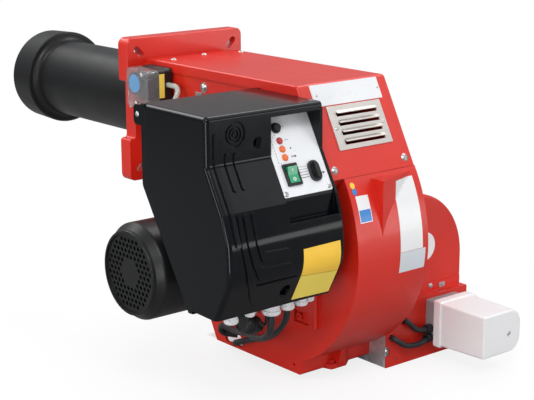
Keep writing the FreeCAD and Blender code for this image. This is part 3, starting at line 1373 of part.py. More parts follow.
def diffuser_disc():
    body = pipe((0, distributor_end_y, 0), AXIS_Y, disc_r, 12, 1.5)
    rim = pipe((0, distributor_end_y, 0), AXIS_Y, disc_r, disc_r - 1.5, 8)
    body = fused(body, [rim])
    for i in range(12):
        slot = box(34, 56, distributor_end_y - 1, distributor_end_y + 3, -2.5, 2.5)
        slot.rotate(Vector(0, 0, 0), Vector(0, 1, 0), 30 * i + 15)
        body = body.cut(slot)
    return body


def electrode_places():
    turns = [math.radians(t) for t in electrode_turns]
    return [(electrode_circle * math.cos(t), electrode_circle * math.sin(t)) for t in turns]


def electrode_clamp():
    """Ring round the gas head that holds two ignition electrodes and the flame rod."""
    ring = pipe((0, 300, 0), AXIS_Y, distributor_r + 3, distributor_r, 12)
    eyes = [rod((x, 300, z), AXIS_Y, 7.5, 12) for x, z in electrode_places()]
    body = fused(ring, eyes).cut(rod((0, 299, 0), AXIS_Y, distributor_r, 14))
    return body.cut([rod((x, 299, z), AXIS_Y, 4.5, 14) for x, z in electrode_places()])


def electrode_ceramics():
    return [pipe((x, 210, z), AXIS_Y, 4.5, 1.5, 150) for x, z in electrode_places()]


def electrode_tips():
    return [rod((x, 200, z), AXIS_Y, 1.5, 205) for x, z in electrode_places()]


# Cables between the glands, the housing and the servo
def motor_cable():
    x, y = glands[2][0], glands[2][1]
    return cable([(x, y, -199), (x, y, -252), (-163, -435, -276), (-139, -383, -296), (-111, -320, -310),
                  (-84, -262, -330), (-76, -214, -332), (-70, -204, -350), (-46, -217, -356)], cable_r)


def switch_cable():
    x, y = glands[3][0], glands[3][1]
    return cable([(x, y, -199), (x, y, -240), (-133, -430, -272), (-116, -388, -298), (-92, -322, -324),
                  (-82, -258, -350), (-68, -240, -360), (-44, -233, -362)], second_cable_r)


connector_place = Vector(-212, -440, -240)
connector_way = Vector(0.92, 0.15, -0.36).normalize()
connector_r = 13.5
connector_long = 32.0
connector_tail = 10.0


def cable_connector():
    """Round connector that hangs under the box on its own thin cable."""
    shell = Part.makeCylinder(connector_r, connector_long, connector_place, connector_way)
    shell = shell.makeFillet(2.0, [e for e in shell.Edges if e.Length > 80])
    rings = [Part.makeCylinder(connector_r + 1.2, 3.0, connector_place + connector_way * s, connector_way)
             for s in (10.0, 16.0)]
    face = Part.makeCylinder(connector_r - 3.5, 2.0, connector_place - connector_way * 0.1, connector_way)
    tail = Part.makeCylinder(8.0, connector_tail, connector_place + connector_way * connector_long, connector_way)
    bore = Part.makeCylinder(thin_cable_r, connector_tail + 1, connector_place + connector_way * connector_long,
                             connector_way)
    return fused(shell, rings + [tail]).cut([face, bore])


def thin_cable():
    x, y = thin_cable_place
    start = connector_place + connector_way * (connector_long + 1)
    beyond = start + connector_way * 22
    return cable([tuple(start), tuple(beyond), (x, y, -242), (x, y, -192)], thin_cable_r)


def servo_cable_upper():
    y, z = servo_entries[0]
    return cable([(128, intake_panel_y + 12, -313), (128, y + 3, -315), (146, y, -333), (servo_left + 1, y, z)],
                 servo_cable_r)


def servo_cable_lower():
    y, z = servo_entries[1]
    return cable([(100, intake_panel_y + 14, -336), (100, y + 1, -338), (118, y - 3, -352), (150, y - 2, -356),
                  (servo_left + 1, y, z)], servo_cable_r)


# Small pieces gathered by where they belong
def cover_screws():
    return hood_screws() + casing_screws() + trim_rivets()


def equipment_screws():
    return box_screws() + switch_screws() + intake_screws() + [servo_screw()]


def control_bezels():
    return [rocker_bezel(), selector_bezel(), reset_bezel()]


def harness_cables():
    return [motor_cable(), switch_cable(), thin_cable()]


def servo_cables():
    return [servo_cable_upper(), servo_cable_lower()] + servo_glands()


# Write each part to its own file
PARTS = [mounting_flange, blast_tube, flame_head, burner_housing, fan_scroll, scroll_side_plate, hood_cover,
         cover_screws, name_plate, vent_grille, motor_flange, motor_bolts, motor_body, motor_stator, motor_bearings,
         motor_terminal_box, motor_fan_cowl, motor_shaft, motor_rotor_core, cooling_fan, fan_impeller,
         inlet_cone, intake_casing, intake_base, intake_panel, intake_plug, damper_flap, damper_shaft,
         damper_bearings, servo_base, servo_cover, servo_gear_motor, servo_cables, control_box_base,
         control_box_cover, equipment_screws, cable_glands, control_panel, indicator_lamps, control_bezels,
         rocker_key, selector_lever, reset_button, burner_controller, terminal_strip, ignition_transformer,
         switch_adapter, pressure_switch_body, pressure_switch_cover, pressure_dial, pressure_hose,
         gas_inlet_elbow, gas_distributor, head_adjuster, diffuser_disc, electrode_clamp, electrode_ceramics,
         electrode_tips, harness_cables, cable_connector]

os.makedirs(OUT, exist_ok=True)
for make in PARTS:
    shape = make()
    if isinstance(shape, list):
        shape = Part.makeCompound(shape)
    print("%-22s solids %d valid %s volume %.0f" % (make.__name__, len(shape.Solids), shape.isValid(), shape.Volume))
    shape.exportStep(os.path.join(OUT, make.__name__ + ".step"))
print("parts", len(PARTS))
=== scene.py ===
import bpy
import bmesh
import math
from mathutils import Matrix, Vector
from mathutils.bvhtree import BVHTree


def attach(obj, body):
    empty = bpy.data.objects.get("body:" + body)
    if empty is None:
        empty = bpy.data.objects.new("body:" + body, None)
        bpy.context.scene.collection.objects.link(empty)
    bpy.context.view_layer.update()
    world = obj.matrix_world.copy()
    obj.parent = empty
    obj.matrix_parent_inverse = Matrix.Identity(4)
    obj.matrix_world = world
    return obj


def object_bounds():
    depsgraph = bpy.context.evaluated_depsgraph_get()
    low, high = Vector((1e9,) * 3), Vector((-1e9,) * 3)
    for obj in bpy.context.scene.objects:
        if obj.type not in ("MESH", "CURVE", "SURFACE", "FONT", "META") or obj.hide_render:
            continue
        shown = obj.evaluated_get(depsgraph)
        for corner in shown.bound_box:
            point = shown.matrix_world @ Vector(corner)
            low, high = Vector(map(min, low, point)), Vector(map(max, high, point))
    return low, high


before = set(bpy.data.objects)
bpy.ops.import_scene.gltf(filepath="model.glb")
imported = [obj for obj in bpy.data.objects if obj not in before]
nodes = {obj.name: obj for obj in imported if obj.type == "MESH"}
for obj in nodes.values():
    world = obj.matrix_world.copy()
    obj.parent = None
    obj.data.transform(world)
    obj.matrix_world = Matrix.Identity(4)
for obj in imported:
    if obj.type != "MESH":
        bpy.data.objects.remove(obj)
CAD_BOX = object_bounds()
scene = bpy.context.scene
scene.view_settings.view_transform = "Standard"

MM = 0.001

# Camera at the photograph's place: angles in degrees, place in millimetres
CAMERA_AZIMUTH = 39.29
CAMERA_ELEVATION = 13.89
CAMERA_ROLL = -0.29
CAMERA_LENS = 93.84
CAMERA_PLACE = Vector((-1383.7, -1931.2, 409.9))

# Control panel: its upper edge, the way down it, the way out of it and its plate's face
PANEL_SLANT = 33.6 / 60.0
PANEL_TOP = Vector((0, -477.0 + 56.0 * PANEL_SLANT + 3.0, 61.0))
PANEL_WAY = Vector((0, -PANEL_SLANT, -1)).normalized()
PANEL_OUT = Vector((0, PANEL_WAY.z, -PANEL_WAY.y))
PANEL_FACE = 1.5

# Print on the panel, by x and distance down it
PRINT_THICK = 0.12
DASH_XS = (-175.5, -171.5, -167.5)
DASH_FIRST = 8.0
DASH_STAGGER = 2.0
DASH_LAST = 77.0
DASH_LONG = 2.6
DASH_WIDE = 0.65
DASH_STEP = 4.4
DASH_TEST = 1.2
DASH_PASSES_X = -172.0
DASH_KEEPS_OFF = ((25.5, 9.0), (44.5, 6.4), (57.0, 6.4), (69.5, 6.4))
LINE_ENDS = (-147.0, -130.5)
LINE_DOWNS = (86.5, 90.5, 94.5, 98.5, 102.5)
LINE_WIDE = 0.35
LINE_GROWTH = 0.12
ARC_MIDDLE = (-150.0, 26.0)
ARC_RADII = (3.0, 2.4)
ARC_START, ARC_STEP, ARC_POINTS = 0.95, 0.13, 9
ARC_WIDE = 0.5
HOOK = [(-152.0, 46.0), (-150.5, 43.4), (-147.5, 43.8), (-146.0, 45.6)]
HOOK_WIDE = 0.55
LAMP_DOT = (-146.6, 57.0, 1.3, 16)
ARROW_SIGNS = ((-148.0, 69.5), (-108.0, 100.0))

# Marks on the rocker's key, whose face rises from its middle to both ends
KEY_TILT = 9.0
KEY_PIVOT = (-160.5, 95.5, 2.5)
KEY_MIDDLE_OUT = 2.6
KEY_RISE = 2.6
KEY_HALF = 11.7
KEY_GAP = 0.02
KEY_RING_DOWN = 6.6
KEY_RING_RADII = (2.6, 1.6)
KEY_RING_POINTS = 24
KEY_BAR = (0, -8.4, 0, -4.2, 1.0)

# Cross ribs on the long band beside the control box's left edge
RIB_TOP_Z = 46.0
RIB_FOOT_Z = -96.0
RIB_STEP = 2.6
RIB_HALF = 0.6
RIB_XS = (-285.2, -278.8)
RIB_PROUD = 0.45

# Yellow stripe on the front of the pressure switch
STRIPE_XS = (-116.4, -106.2)
STRIPE_ZS = (32.0, 71.0)
STRIPE_Y = -111.0
STRIPE_THICK = 0.25

# Clamping nuts under the cable glands: x, y, upper end, radius and bore
GLANDS = (
    (-251.0, -466.0, -220.0, 11.0, 0.0),
    (-214.0, -462.0, -218.0, 8.0, 0.0),
    (-176.0, -464.0, -223.0, 14.0, 5.4),
    (-147.0, -465.0, -221.0, 11.0, 5.0),
    (-121.0, -465.0, -220.0, 10.5, 0.0),
    (-103.5, -462.0, -218.0, 8.5, 0.0),
)
NUT_PROFILE = ((0.78, 1.5), (0.93, 0.8), (0.93, -3.6), (0.80, -5.8), (0.62, -6.6))
NUT_BORE_ENDS = (-6.6, 1.5)
NUT_POINTS = 72
NUT_RIBS = 18
NUT_RIB_SHARE = 0.035
NUT_SMALLEST_BORE = 0.4

# Colours that more than one place uses, and where two colours meet
RED = (0.66, 0.018, 0.007)
LAMP_RED = (0.36, 0.008, 0.010)
LAMP_SPLIT_Z = 16.8
LAMP_GLOW = 0.10
DIAL_AXIS = (-72.0, 54.0)
DIAL_FACE_R = 14.8
DIAL_RIM = (0.01, 0.01, 0.012)

# Floor and world: half size and gap in metres, levels from 0, black, to 1, white
FLOOR_HALF = 6.0
FLOOR_GAP = 0.0005
FLOOR_SHADED = 0.92
FLOOR_BOUNCED = 0.30
SHADOW_FADE = (0.45, 1.4, 0.80, 1.0)
FOOT_FADE = (0.86, 0.98, 0.12, 1.0)
FEET = (
    ((0.02, -0.225, 0.0), (0.055, 0.118, 1.0)),
    ((0.18, -0.305, 0.0), (0.094, 0.125, 1.0)),
)
WORLD_TINT = (0.96, 0.98, 1.0, 1)
WORLD_STRENGTH = 0.64
WORLD_MIRRORED = (0.0, 0.7, 0.14, 0.60)
WHITE_MIRRORED = 0.08

# Soft lamps: name, place, aim and size in metres, and power in watts
SOFTBOXES = (
    ("key", (-1.6, -2.2, 2.3), (0, -0.25, -0.1), (1.2, 1.0), 42.0),
    ("front", (1.6, -2.3, -0.02), (0.05, -0.35, -0.2), (1.5, 0.62), 10.0),
    ("right", (1.45, -1.5, 1.55), (0.0, -0.35, -0.1), (1.3, 1.3), 5.0),
    ("back", (-0.65, 1.6, 1.65), (-0.2, -0.45, 0.0), (1.8, 0.8), 20.0),
    ("over", (1.2, 0.1, 1.8), (-0.1, -0.5, 0.0), (1.4, 0.6), 11.0),
    ("left", (-2.6, -0.3, 0.6), (0, -0.2, -0.1), (0.7, 1.6), 16.0),
    ("low", (-1.05, -1.1, -0.12), (-0.29, -0.5, -0.12), (0.25, 0.5), 3.0),
)


def make_camera():
    az = math.radians(CAMERA_AZIMUTH)
    el = math.radians(CAMERA_ELEVATION)
    roll = math.radians(CAMERA_ROLL)
    ahead = Vector((math.sin(az) * math.cos(el), math.cos(az) * math.cos(el), -math.sin(el)))
    right = ahead.cross(Vector((0, 0, 1))).normalized()
    up = right.cross(ahead)
    turned_right = right * math.cos(roll) + up * math.sin(roll)
    turned_up = up * math.cos(roll) - right * math.sin(roll)
    data = bpy.data.cameras.new("camera")
    data.sensor_width = 36.0
    data.lens = CAMERA_LENS
    data.clip_end = 50.0
    cam = bpy.data.objects.new("camera", data)
    scene.collection.objects.link(cam)
    turn = Matrix((turned_right, turned_up, -ahead)).transposed().to_4x4()
    cam.matrix_world = Matrix.Translation(CAMERA_PLACE * MM) @ turn
    scene.camera = cam


make_camera()


VECTOR_MATH = "ShaderNodeVectorMath"


# Material building blocks
class Nodes:
    """A node tree, with short calls for its usual nodes."""

    def __init__(self, tree):
        self.tree = tree

    def add(self, kind, **values):
        node = self.tree.nodes.new(kind)
        for key, value in values.items():
            setattr(node, key, value)
        return node

    def link(self, a, b):
        self.tree.links.new(a, b)

    def span(self, value, low, high, to_low, to_high):
        node = self.add("ShaderNodeMapRange")
        node.inputs["From Min"].default_value = low
        node.inputs["From Max"].default_value = high
        node.inputs["To Min"].default_value = to_low
        node.inputs["To Max"].default_value = to_high
        self.link(value, node.inputs["Value"])
        return node.outputs["Result"]

    def calc(self, operation, a, b=None, kind="ShaderNodeMath"):
        """Outputs of a Math or Vector Math node; b is a socket, a number, a vector or nothing."""
        node = self.add(kind, operation=operation)
        self.link(a, node.inputs[0])
        if isinstance(b, bpy.types.NodeSocket):
            self.link(b, node.inputs[1])
        elif b is not None:
            node.inputs[1].default_value = b
        return node.outputs

    def split(self, vector):
        node = self.add("ShaderNodeSeparateXYZ")
        self.link(vector, node.inputs[0])
        return node.outputs

    def mixed(self, share, first, second):
        node = self.add("ShaderNodeMixShader")
        self.link(share, node.inputs[0])
        self.link(first, node.inputs[1])
        self.link(second, node.inputs[2])
        return node.outputs[0]


class Paint(Nodes):
    """A Principled material, with short calls for the detail of its surface."""

    def __init__(self, name, color, rough=0.4, metal=0.0, **sockets):
        self.mat = bpy.data.materials.new(name)
        self.mat.use_nodes = True
        super().__init__(self.mat.node_tree)
        self.shader = self.tree.nodes["Principled BSDF"]
        self.color = color
        self.set("Base Color", (*color, 1.0))
        self.set("Roughness", rough)
        self.set("Metallic", metal)
        for key, value in sockets.items():
            self.set(key.replace("_", " "), value)
        self.coords = self.add("ShaderNodeTexCoord").outputs["Object"]
        self.normal = None

    def set(self, socket, value):
        self.shader.inputs[socket].default_value = value

    def scaled(self, scale):
        mapping = self.add("ShaderNodeMapping")
        mapping.inputs["Scale"].default_value = scale if hasattr(scale, "__len__") else (scale, scale, scale)
        self.link(self.coords, mapping.inputs["Vector"])
        return mapping.outputs["Vector"]

    def noise(self, scale, detail=3.0):
        node = self.add("ShaderNodeTexNoise")
        node.inputs["Scale"].default_value = 1.0
        node.inputs["Detail"].default_value = detail
        node.inputs["Roughness"].default_value = 0.55
        self.link(self.scaled(scale), node.inputs["Vector"])
        return node.outputs["Fac"]

    def cells(self, scale):
        node = self.add("ShaderNodeTexVoronoi")
        node.inputs["Scale"].default_value = 1.0
        self.link(self.scaled(scale), node.inputs["Vector"])
        return node

    def blend_colors(self, share, first, second):
        node = self.add("ShaderNodeMix", data_type="RGBA")
        node.inputs["A"].default_value = (*first, 1.0)
        node.inputs["B"].default_value = (*second, 1.0)
        self.link(share, node.inputs["Factor"])
        self.link(node.outputs["Result"], self.shader.inputs["Base Color"])
        return node.outputs["Result"]

    def shade(self, value, dark, light):
        """Base colour that runs from dark to light times the plain colour."""
        ends = [[min(1.0, c * level) for c in self.color] for level in (dark, light)]
        self.blend_colors(value, *ends)
        return self

    def above(self, z_mm, color, glow):
        """Another colour for everything higher than z, and both colours glow."""
        height = self.split(self.coords)["Z"]
        share = self.span(height, (z_mm - 0.2) * MM, (z_mm + 0.2) * MM, 0.0, 1.0)
        self.link(self.blend_colors(share, self.color, color), self.shader.inputs["Emission Color"])
        self.set("Emission Strength", glow)
        return self

    def ring(self, axis_yz, r_mm, color):
        """Another colour further than r from an axis along X."""
        place = self.split(self.coords)
        squares = []
        for key, middle in zip(("Y", "Z"), axis_yz):
            off = self.calc("SUBTRACT", place[key], middle * MM)["Value"]
            squares.append(self.calc("MULTIPLY", off, off)["Value"])
        total = self.calc("ADD", *squares)["Value"]
        low, high = ((r_mm - 0.1) * MM) ** 2, ((r_mm + 0.1) * MM) ** 2
        self.blend_colors(self.span(total, low, high, 0.0, 1.0), self.color, color)
        return self

    def roughen(self, value, low, high):
        self.link(self.span(value, 0.3, 0.7, low, high), self.shader.inputs["Roughness"])
        return self

    def bump(self, value, depth_mm):
        node = self.add("ShaderNodeBump")
        node.inputs["Distance"].default_value = depth_mm * MM
        node.inputs["Strength"].default_value = 1.0
        self.link(value, node.inputs["Height"])
        if self.normal:
            self.link(self.normal, node.inputs["Normal"])
        self.normal = node.outputs["Normal"]
        self.link(self.normal, self.shader.inputs["Normal"])
        return self

    def soft_edges(self, radius_mm):
        node = self.add("ShaderNodeBevel")
        node.samples = 4
        node.inputs["Radius"].default_value = radius_mm * MM
        self.normal = node.outputs["Normal"]
        self.link(self.normal, self.shader.inputs["Normal"])
        return self


def enamel(name, color, grain_mm, grain_scale, rough):
    p = Paint(name, color, rough, Coat_Weight=0.18, Coat_Roughness=0.12)
    p.soft_edges(0.9)
    p.bump(p.noise(grain_scale, 2.0), grain_mm)
    p.bump(p.noise(35.0, 2.0), 0.25)
    p.shade(p.span(p.noise(9.0, 4.0), 0.3, 0.7, 0.0, 1.0), 0.93, 1.06)
    p.roughen(p.noise(22.0, 3.0), rough - 0.05, rough + 0.06)
    return p.mat


def make_materials():
    m = {}
    m["red_sheet"] = enamel("red_sheet", RED, 0.03, 700.0, 0.36)
    m["red_cast"] = enamel("red_cast", RED, 0.10, 420.0, 0.38)

    p = Paint("black_shell", (0.0020, 0.0026, 0.0040), 0.15, Specular_IOR_Level=0.25)
    p.soft_edges(0.8).bump(p.noise(1100.0, 2.0), 0.006).bump(p.noise(11.0, 2.0), 0.10)
    p.roughen(p.noise(30.0), 0.12, 0.18)
    p.shade(p.noise(12.0), 0.9, 1.1)
    m["black_shell"] = p.mat

    p = Paint("black_paint", (0.008, 0.0083, 0.009), 0.34, Specular_IOR_Level=0.32)
    p.soft_edges(0.7).bump(p.noise(520.0, 3.0), 0.05)
    p.roughen(p.noise(16.0, 4.0), 0.32, 0.44).shade(p.noise(7.0, 5.0), 0.8, 1.25)
    m["black_paint"] = p.mat

    p = Paint("black_plastic", (0.010, 0.010, 0.011), 0.42)
    p.soft_edges(0.4).bump(p.noise(1500.0, 2.0), 0.02).roughen(p.noise(60.0), 0.36, 0.5)
    p.shade(p.noise(20.0), 0.85, 1.2)
    m["black_plastic"] = p.mat

    p = Paint("white_cover", (0.88, 0.87, 0.88), 0.42, Subsurface_Weight=0.08, Subsurface_Scale=0.004)
    p.soft_edges(0.8).bump(p.noise(1400.0, 2.0), 0.015).roughen(p.noise(40.0), 0.38, 0.5)
    p.shade(p.noise(14.0), 0.975, 1.0)
    m["white_cover"] = p.mat

    p = Paint("white_plate", (0.80, 0.81, 0.83), 0.32, Coat_Weight=0.2)
    p.soft_edges(0.3).bump(p.noise(700.0), 0.01).roughen(p.noise(50.0), 0.26, 0.36)
    p.shade(p.noise(25.0), 0.97, 1.0)
    m["white_plate"] = p.mat

    p = Paint("zinc_screws", (0.66, 0.66, 0.65), 0.30, 1.0)
    p.soft_edges(0.3).bump(p.noise(1200.0), 0.03).roughen(p.noise(300.0), 0.24, 0.42)
    p.shade(p.noise(180.0), 0.8, 1.1)
    m["zinc_screws"] = p.mat

    p = Paint("nickel_grille", (0.66, 0.625, 0.585), 0.38, 0.85)
    p.soft_edges(0.4).bump(p.noise((60.0, 3000.0, 3000.0), 3.0), 0.02)
    p.roughen(p.noise((40.0, 1500.0, 1500.0)), 0.27, 0.42).shade(p.noise(80.0), 0.92, 1.06)
    m["nickel_grille"] = p.mat

    p = Paint("galvanised", (0.62, 0.63, 0.65), 0.42, 0.55)
    spangle = p.cells(110.0)
    p.soft_edges(0.3).shade(spangle.outputs["Color"], 0.78, 1.12)
    p.roughen(spangle.outputs["Distance"], 0.34, 0.5).bump(p.noise(500.0), 0.02)
    m["galvanised"] = p.mat

    p = Paint("bare_steel", (0.46, 0.45, 0.44), 0.30, 1.0)
    p.soft_edges(0.3).bump(p.noise((900.0, 90.0, 900.0), 3.0), 0.02)
    p.roughen(p.noise(120.0), 0.25, 0.4).shade(p.noise(50.0), 0.88, 1.08)
    m["bare_steel"] = p.mat

    p = Paint("cast_aluminium", (0.60, 0.61, 0.62), 0.45, 1.0)
    p.soft_edges(0.7).bump(p.noise(600.0, 4.0), 0.12).roughen(p.noise(90.0), 0.4, 0.55)
    p.shade(p.noise(40.0), 0.85, 1.08)
    m["cast_aluminium"] = p.mat

    p = Paint("cable_rubber", (0.016, 0.018, 0.021), 0.38)
    p.bump(p.noise(1100.0, 3.0), 0.04).roughen(p.noise(70.0), 0.32, 0.46)
    p.shade(p.noise(30.0), 0.85, 1.25)
    m["cable_rubber"] = p.mat

    p = Paint("clear_plastic", (0.90, 0.91, 0.93), 0.06, Transmission_Weight=0.88, IOR=1.25, Alpha=0.55)
    p.soft_edges(1.6).bump(p.noise(60.0), 0.03).roughen(p.noise(90.0), 0.04, 0.1)
    m["clear_plastic"] = p.mat

    p = Paint("clear_hose", (0.80, 0.84, 0.80), 0.25, Transmission_Weight=0.55, IOR=1.35)
    p.bump(p.noise(200.0), 0.03).roughen(p.noise(90.0), 0.2, 0.3)
    m["clear_hose"] = p.mat

    p = Paint("lens", (0.72, 0.12, 0.012), 0.16, Coat_Weight=0.3)
    p.bump(p.cells(1200.0).outputs["Distance"], 0.05).above(LAMP_SPLIT_Z, LAMP_RED, LAMP_GLOW)
    p.roughen(p.noise(300.0), 0.12, 0.22)
    m["lens"] = p.mat

    # Painted glow: the key's faint green emission brightens it as painted light, not the key's own colour
    p = Paint("green_key", (0.0, 0.27, 0.115), 0.2, Coat_Weight=0.2, Emission_Strength=0.10)
    p.set("Emission Color", (0.0, 0.42, 0.2, 1.0))
    p.bump(p.noise(900.0), 0.01).shade(p.noise(260.0), 0.8, 1.15).roughen(p.noise(90.0), 0.16, 0.26)
    m["green_key"] = p.mat

    p = Paint("blue_dial", (0.02, 0.36, 0.78), 0.3, Coat_Weight=0.1)
    p.bump(p.noise(900.0), 0.012).ring(DIAL_AXIS, DIAL_FACE_R, DIAL_RIM)
    p.roughen(p.noise(90.0), 0.26, 0.36)
    m["blue_dial"] = p.mat

    p = Paint("ceramic", (0.82, 0.79, 0.70), 0.2, Coat_Weight=0.4)
    p.bump(p.noise(500.0), 0.02).shade(p.noise(60.0), 0.9, 1.0)
    m["ceramic"] = p.mat

    p = Paint("heat_steel", (0.32, 0.27, 0.23), 0.4, 1.0)
    p.soft_edges(0.2).bump(p.noise(400.0), 0.04).shade(p.noise(25.0, 5.0), 0.6, 1.3)
    p.roughen(p.noise(60.0), 0.3, 0.5)
    m["heat_steel"] = p.mat

    p = Paint("copper", (0.55, 0.24, 0.11), 0.4, 1.0)
    p.bump(p.noise((1500.0, 90.0, 90.0)), 0.12).shade(p.noise(90.0), 0.7, 1.1)
    m["copper"] = p.mat

    p = Paint("grey_plastic", (0.30, 0.31, 0.33), 0.45)
    p.soft_edges(0.5).bump(p.noise(1200.0), 0.02).shade(p.noise(30.0), 0.92, 1.06)
    m["grey_plastic"] = p.mat

    # Labels: colour, roughness, coat, scale and depth of their waves, and range of shade
    for name, color, rough, coat, wave, depth, dark, light in (
            ("yellow_label", (0.95, 0.58, 0.05), 0.34, 0.15, 60.0, 0.08, 0.94, 1.04),
            ("pale_yellow", (0.93, 0.73, 0.11), 0.34, 0.15, 60.0, 0.08, 0.94, 1.04),
            ("white_label", (0.84, 0.84, 0.84), 0.35, 0.25, 50.0, 0.06, 0.96, 1.0),
            ("blue_label", (0.03, 0.22, 0.60), 0.35, 0.25, 60.0, 0.06, 0.92, 1.05),
            ("pale_label", (0.66, 0.70, 0.74), 0.35, 0.25, 60.0, 0.06, 0.95, 1.02)):
        p = Paint(name, color, rough, Coat_Weight=coat)
        p.bump(p.noise(wave), depth).shade(p.noise(30.0), dark, light)
        p.roughen(p.noise(80.0), 0.3, 0.42)
        m[name] = p.mat

    for name, color, rough, dark, light in (("ink", (0.02, 0.02, 0.022), 0.5, 0.8, 1.2),
                                            ("white_ink", (0.85, 0.85, 0.85), 0.45, 0.95, 1.0)):
        p = Paint(name, color, rough)
        p.bump(p.noise(900.0), 0.01).shade(p.noise(200.0), dark, light)
        m[name] = p.mat
    return m


M = make_materials()

# Material of every node of the frame
LOOK_NODES = {
    "red_cast": ("mounting_flange", "burner_housing", "fan_scroll", "scroll_side_plate", "motor_flange",
                 "motor_terminal_box"),
    "red_sheet": ("hood_cover", "intake_casing", "intake_panel"),
    "black_paint": ("blast_tube", "flame_head", "motor_body", "motor_fan_cowl"),
    "black_shell": ("control_box_base", "control_box_cover"),
    "black_plastic": ("cooling_fan", "damper_bearings", "control_bezels", "selector_lever", "reset_button",
                      "ignition_transformer", "pressure_switch_body", "cable_connector"),
    "grey_plastic": ("servo_base", "servo_gear_motor", "burner_controller", "terminal_strip"),
    "white_cover": ("intake_plug", "servo_cover", "cable_glands"),
    "white_plate": ("name_plate", "control_panel"),
    "zinc_screws": ("cover_screws", "motor_bolts", "equipment_screws"),
    "nickel_grille": ("vent_grille",),
    "galvanised": ("fan_impeller", "inlet_cone", "intake_base", "damper_flap"),
    "bare_steel": ("motor_bearings", "motor_shaft", "damper_shaft", "switch_adapter", "gas_distributor",
                   "head_adjuster", "electrode_clamp"),
    "cast_aluminium": ("motor_rotor_core", "gas_inlet_elbow"),
    "cable_rubber": ("servo_cables", "harness_cables"),
    "clear_plastic": ("pressure_switch_cover",),
    "clear_hose": ("pressure_hose",),
    "lens": ("indicator_lamps",),
    "green_key": ("rocker_key",),
    "blue_dial": ("pressure_dial",),
    "ceramic": ("electrode_ceramics",),
    "heat_steel": ("diffuser_disc", "electrode_tips"),
    "copper": ("motor_stator",),
}
for look, names in LOOK_NODES.items():
    for node_name in names:
        for one in nodes[node_name].material_slots:
            one.material = M[look]


# Mesh building blocks, all in millimetres
def put(name, verts, faces, look, slot, body="burner"):
    mesh = bpy.data.meshes.new(name)
    mesh.from_pydata([tuple(Vector(v) * MM) for v in verts], [], faces)
    mesh.validate()
    bm = bmesh.new()
    bm.from_mesh(mesh)
    bmesh.ops.recalc_face_normals(bm, faces=bm.faces)
    bm.to_mesh(mesh)
    bm.free()
    obj = bpy.data.objects.new(name, mesh)
    scene.collection.objects.link(obj)
    mesh.materials.append(M[look])
    for poly in mesh.polygons:
        poly.use_smooth = False
    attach(obj, body)


def slab(outline, lift, thick):
    """Vertices and faces of a thin plate; outline gives points and lift moves them off the surface."""
    count = len(outline)
    low = [Vector(p) for p in outline]
    high = [Vector(p) + lift * thick for p in outline]
    faces = [tuple(range(count)), tuple(range(2 * count - 1, count - 1, -1))]
    faces += [(i, (i + 1) % count, count + (i + 1) % count, count + i) for i in range(count)]
    return low + high, faces


def join(parts):
    """One vertex and face list from several."""
    verts, faces = [], []
    for v, f in parts:
        start = len(verts)
        verts += v
        faces += [tuple(i + start for i in face) for face in f]
    return verts, faces


def on_panel(x, down, out=PANEL_FACE):
    return PANEL_TOP + Vector((x, 0, 0)) + PANEL_WAY * down + PANEL_OUT * out


def panel_shape(points):
    return slab([on_panel(*p) for p in points], PANEL_OUT, PRINT_THICK)


def disc_points(x, y, r, count=32):
    return [(x + r * math.cos(2 * math.pi * i / count), y + r * math.sin(2 * math.pi * i / count))
            for i in range(count)]


def bar_points(x0, y0, x1, y1, wide):
    a, b = Vector((x0, y0)), Vector((x1, y1))
    side = (b - a).normalized()
    side = Vector((-side.y, side.x)) * wide / 2
    return [a + side, b + side, b - side, a - side]


# Printed lines and signs of the control panel
def arrow_sign(x, down):
    """Half disc, dot and arrow head in a row, as printed beside the lamp and the selector."""
    turns = [math.pi / 2 + math.pi * i / 10 for i in range(11)]
    half = [(x + 1.7 * math.cos(t), down + 1.7 * math.sin(t)) for t in turns]
    dot = disc_points(x + 2.2, down, 0.8, 12)
    head = [(x + 3.6, down - 2.1), (x + 7.4, down), (x + 3.6, down + 2.1)]
    return [panel_shape(half), panel_shape(dot), panel_shape(head)]


def strokes(points, wide):
    """Printed bars from each point to the next."""
    return [panel_shape(bar_points(*a, *b, wide)) for a, b in zip(points, points[1:])]


def dash_is_clear(x, down):
    """Whether a dash keeps off the button and the lamps."""
    return x < DASH_PASSES_X or all(abs(down + DASH_TEST - other) > gap for other, gap in DASH_KEEPS_OFF)


def panel_print():
    parts = []
    # three dashed lines beside the lamps
    for k, x in enumerate(DASH_XS):
        down = DASH_FIRST + DASH_STAGGER * k
        while down < DASH_LAST:
            if dash_is_clear(x, down):
                parts.append(panel_shape(bar_points(x, down, x, down + DASH_LONG, DASH_WIDE)))
            down += DASH_STEP
    # lines between the rocker and the selector
    for k, down in enumerate(LINE_DOWNS):
        wide = LINE_WIDE + LINE_GROWTH * k
        parts.append(panel_shape(bar_points(LINE_ENDS[0], down, LINE_ENDS[1], down, wide)))
    # signs beside the reset button and the lamps
    turns = [math.pi * (ARC_START + ARC_STEP * i) for i in range(ARC_POINTS)]
    arc = [(ARC_MIDDLE[0] + ARC_RADII[0] * math.cos(t), ARC_MIDDLE[1] + ARC_RADII[1] * math.sin(t))
           for t in turns]
    parts += strokes(arc, ARC_WIDE) + strokes(HOOK, HOOK_WIDE)
    parts.append(panel_shape(disc_points(*LAMP_DOT)))
    for x, down in ARROW_SIGNS:
        parts += arrow_sign(x, down)
    put("panel_print", *join(parts), "ink", "black_plastic")


panel_print()


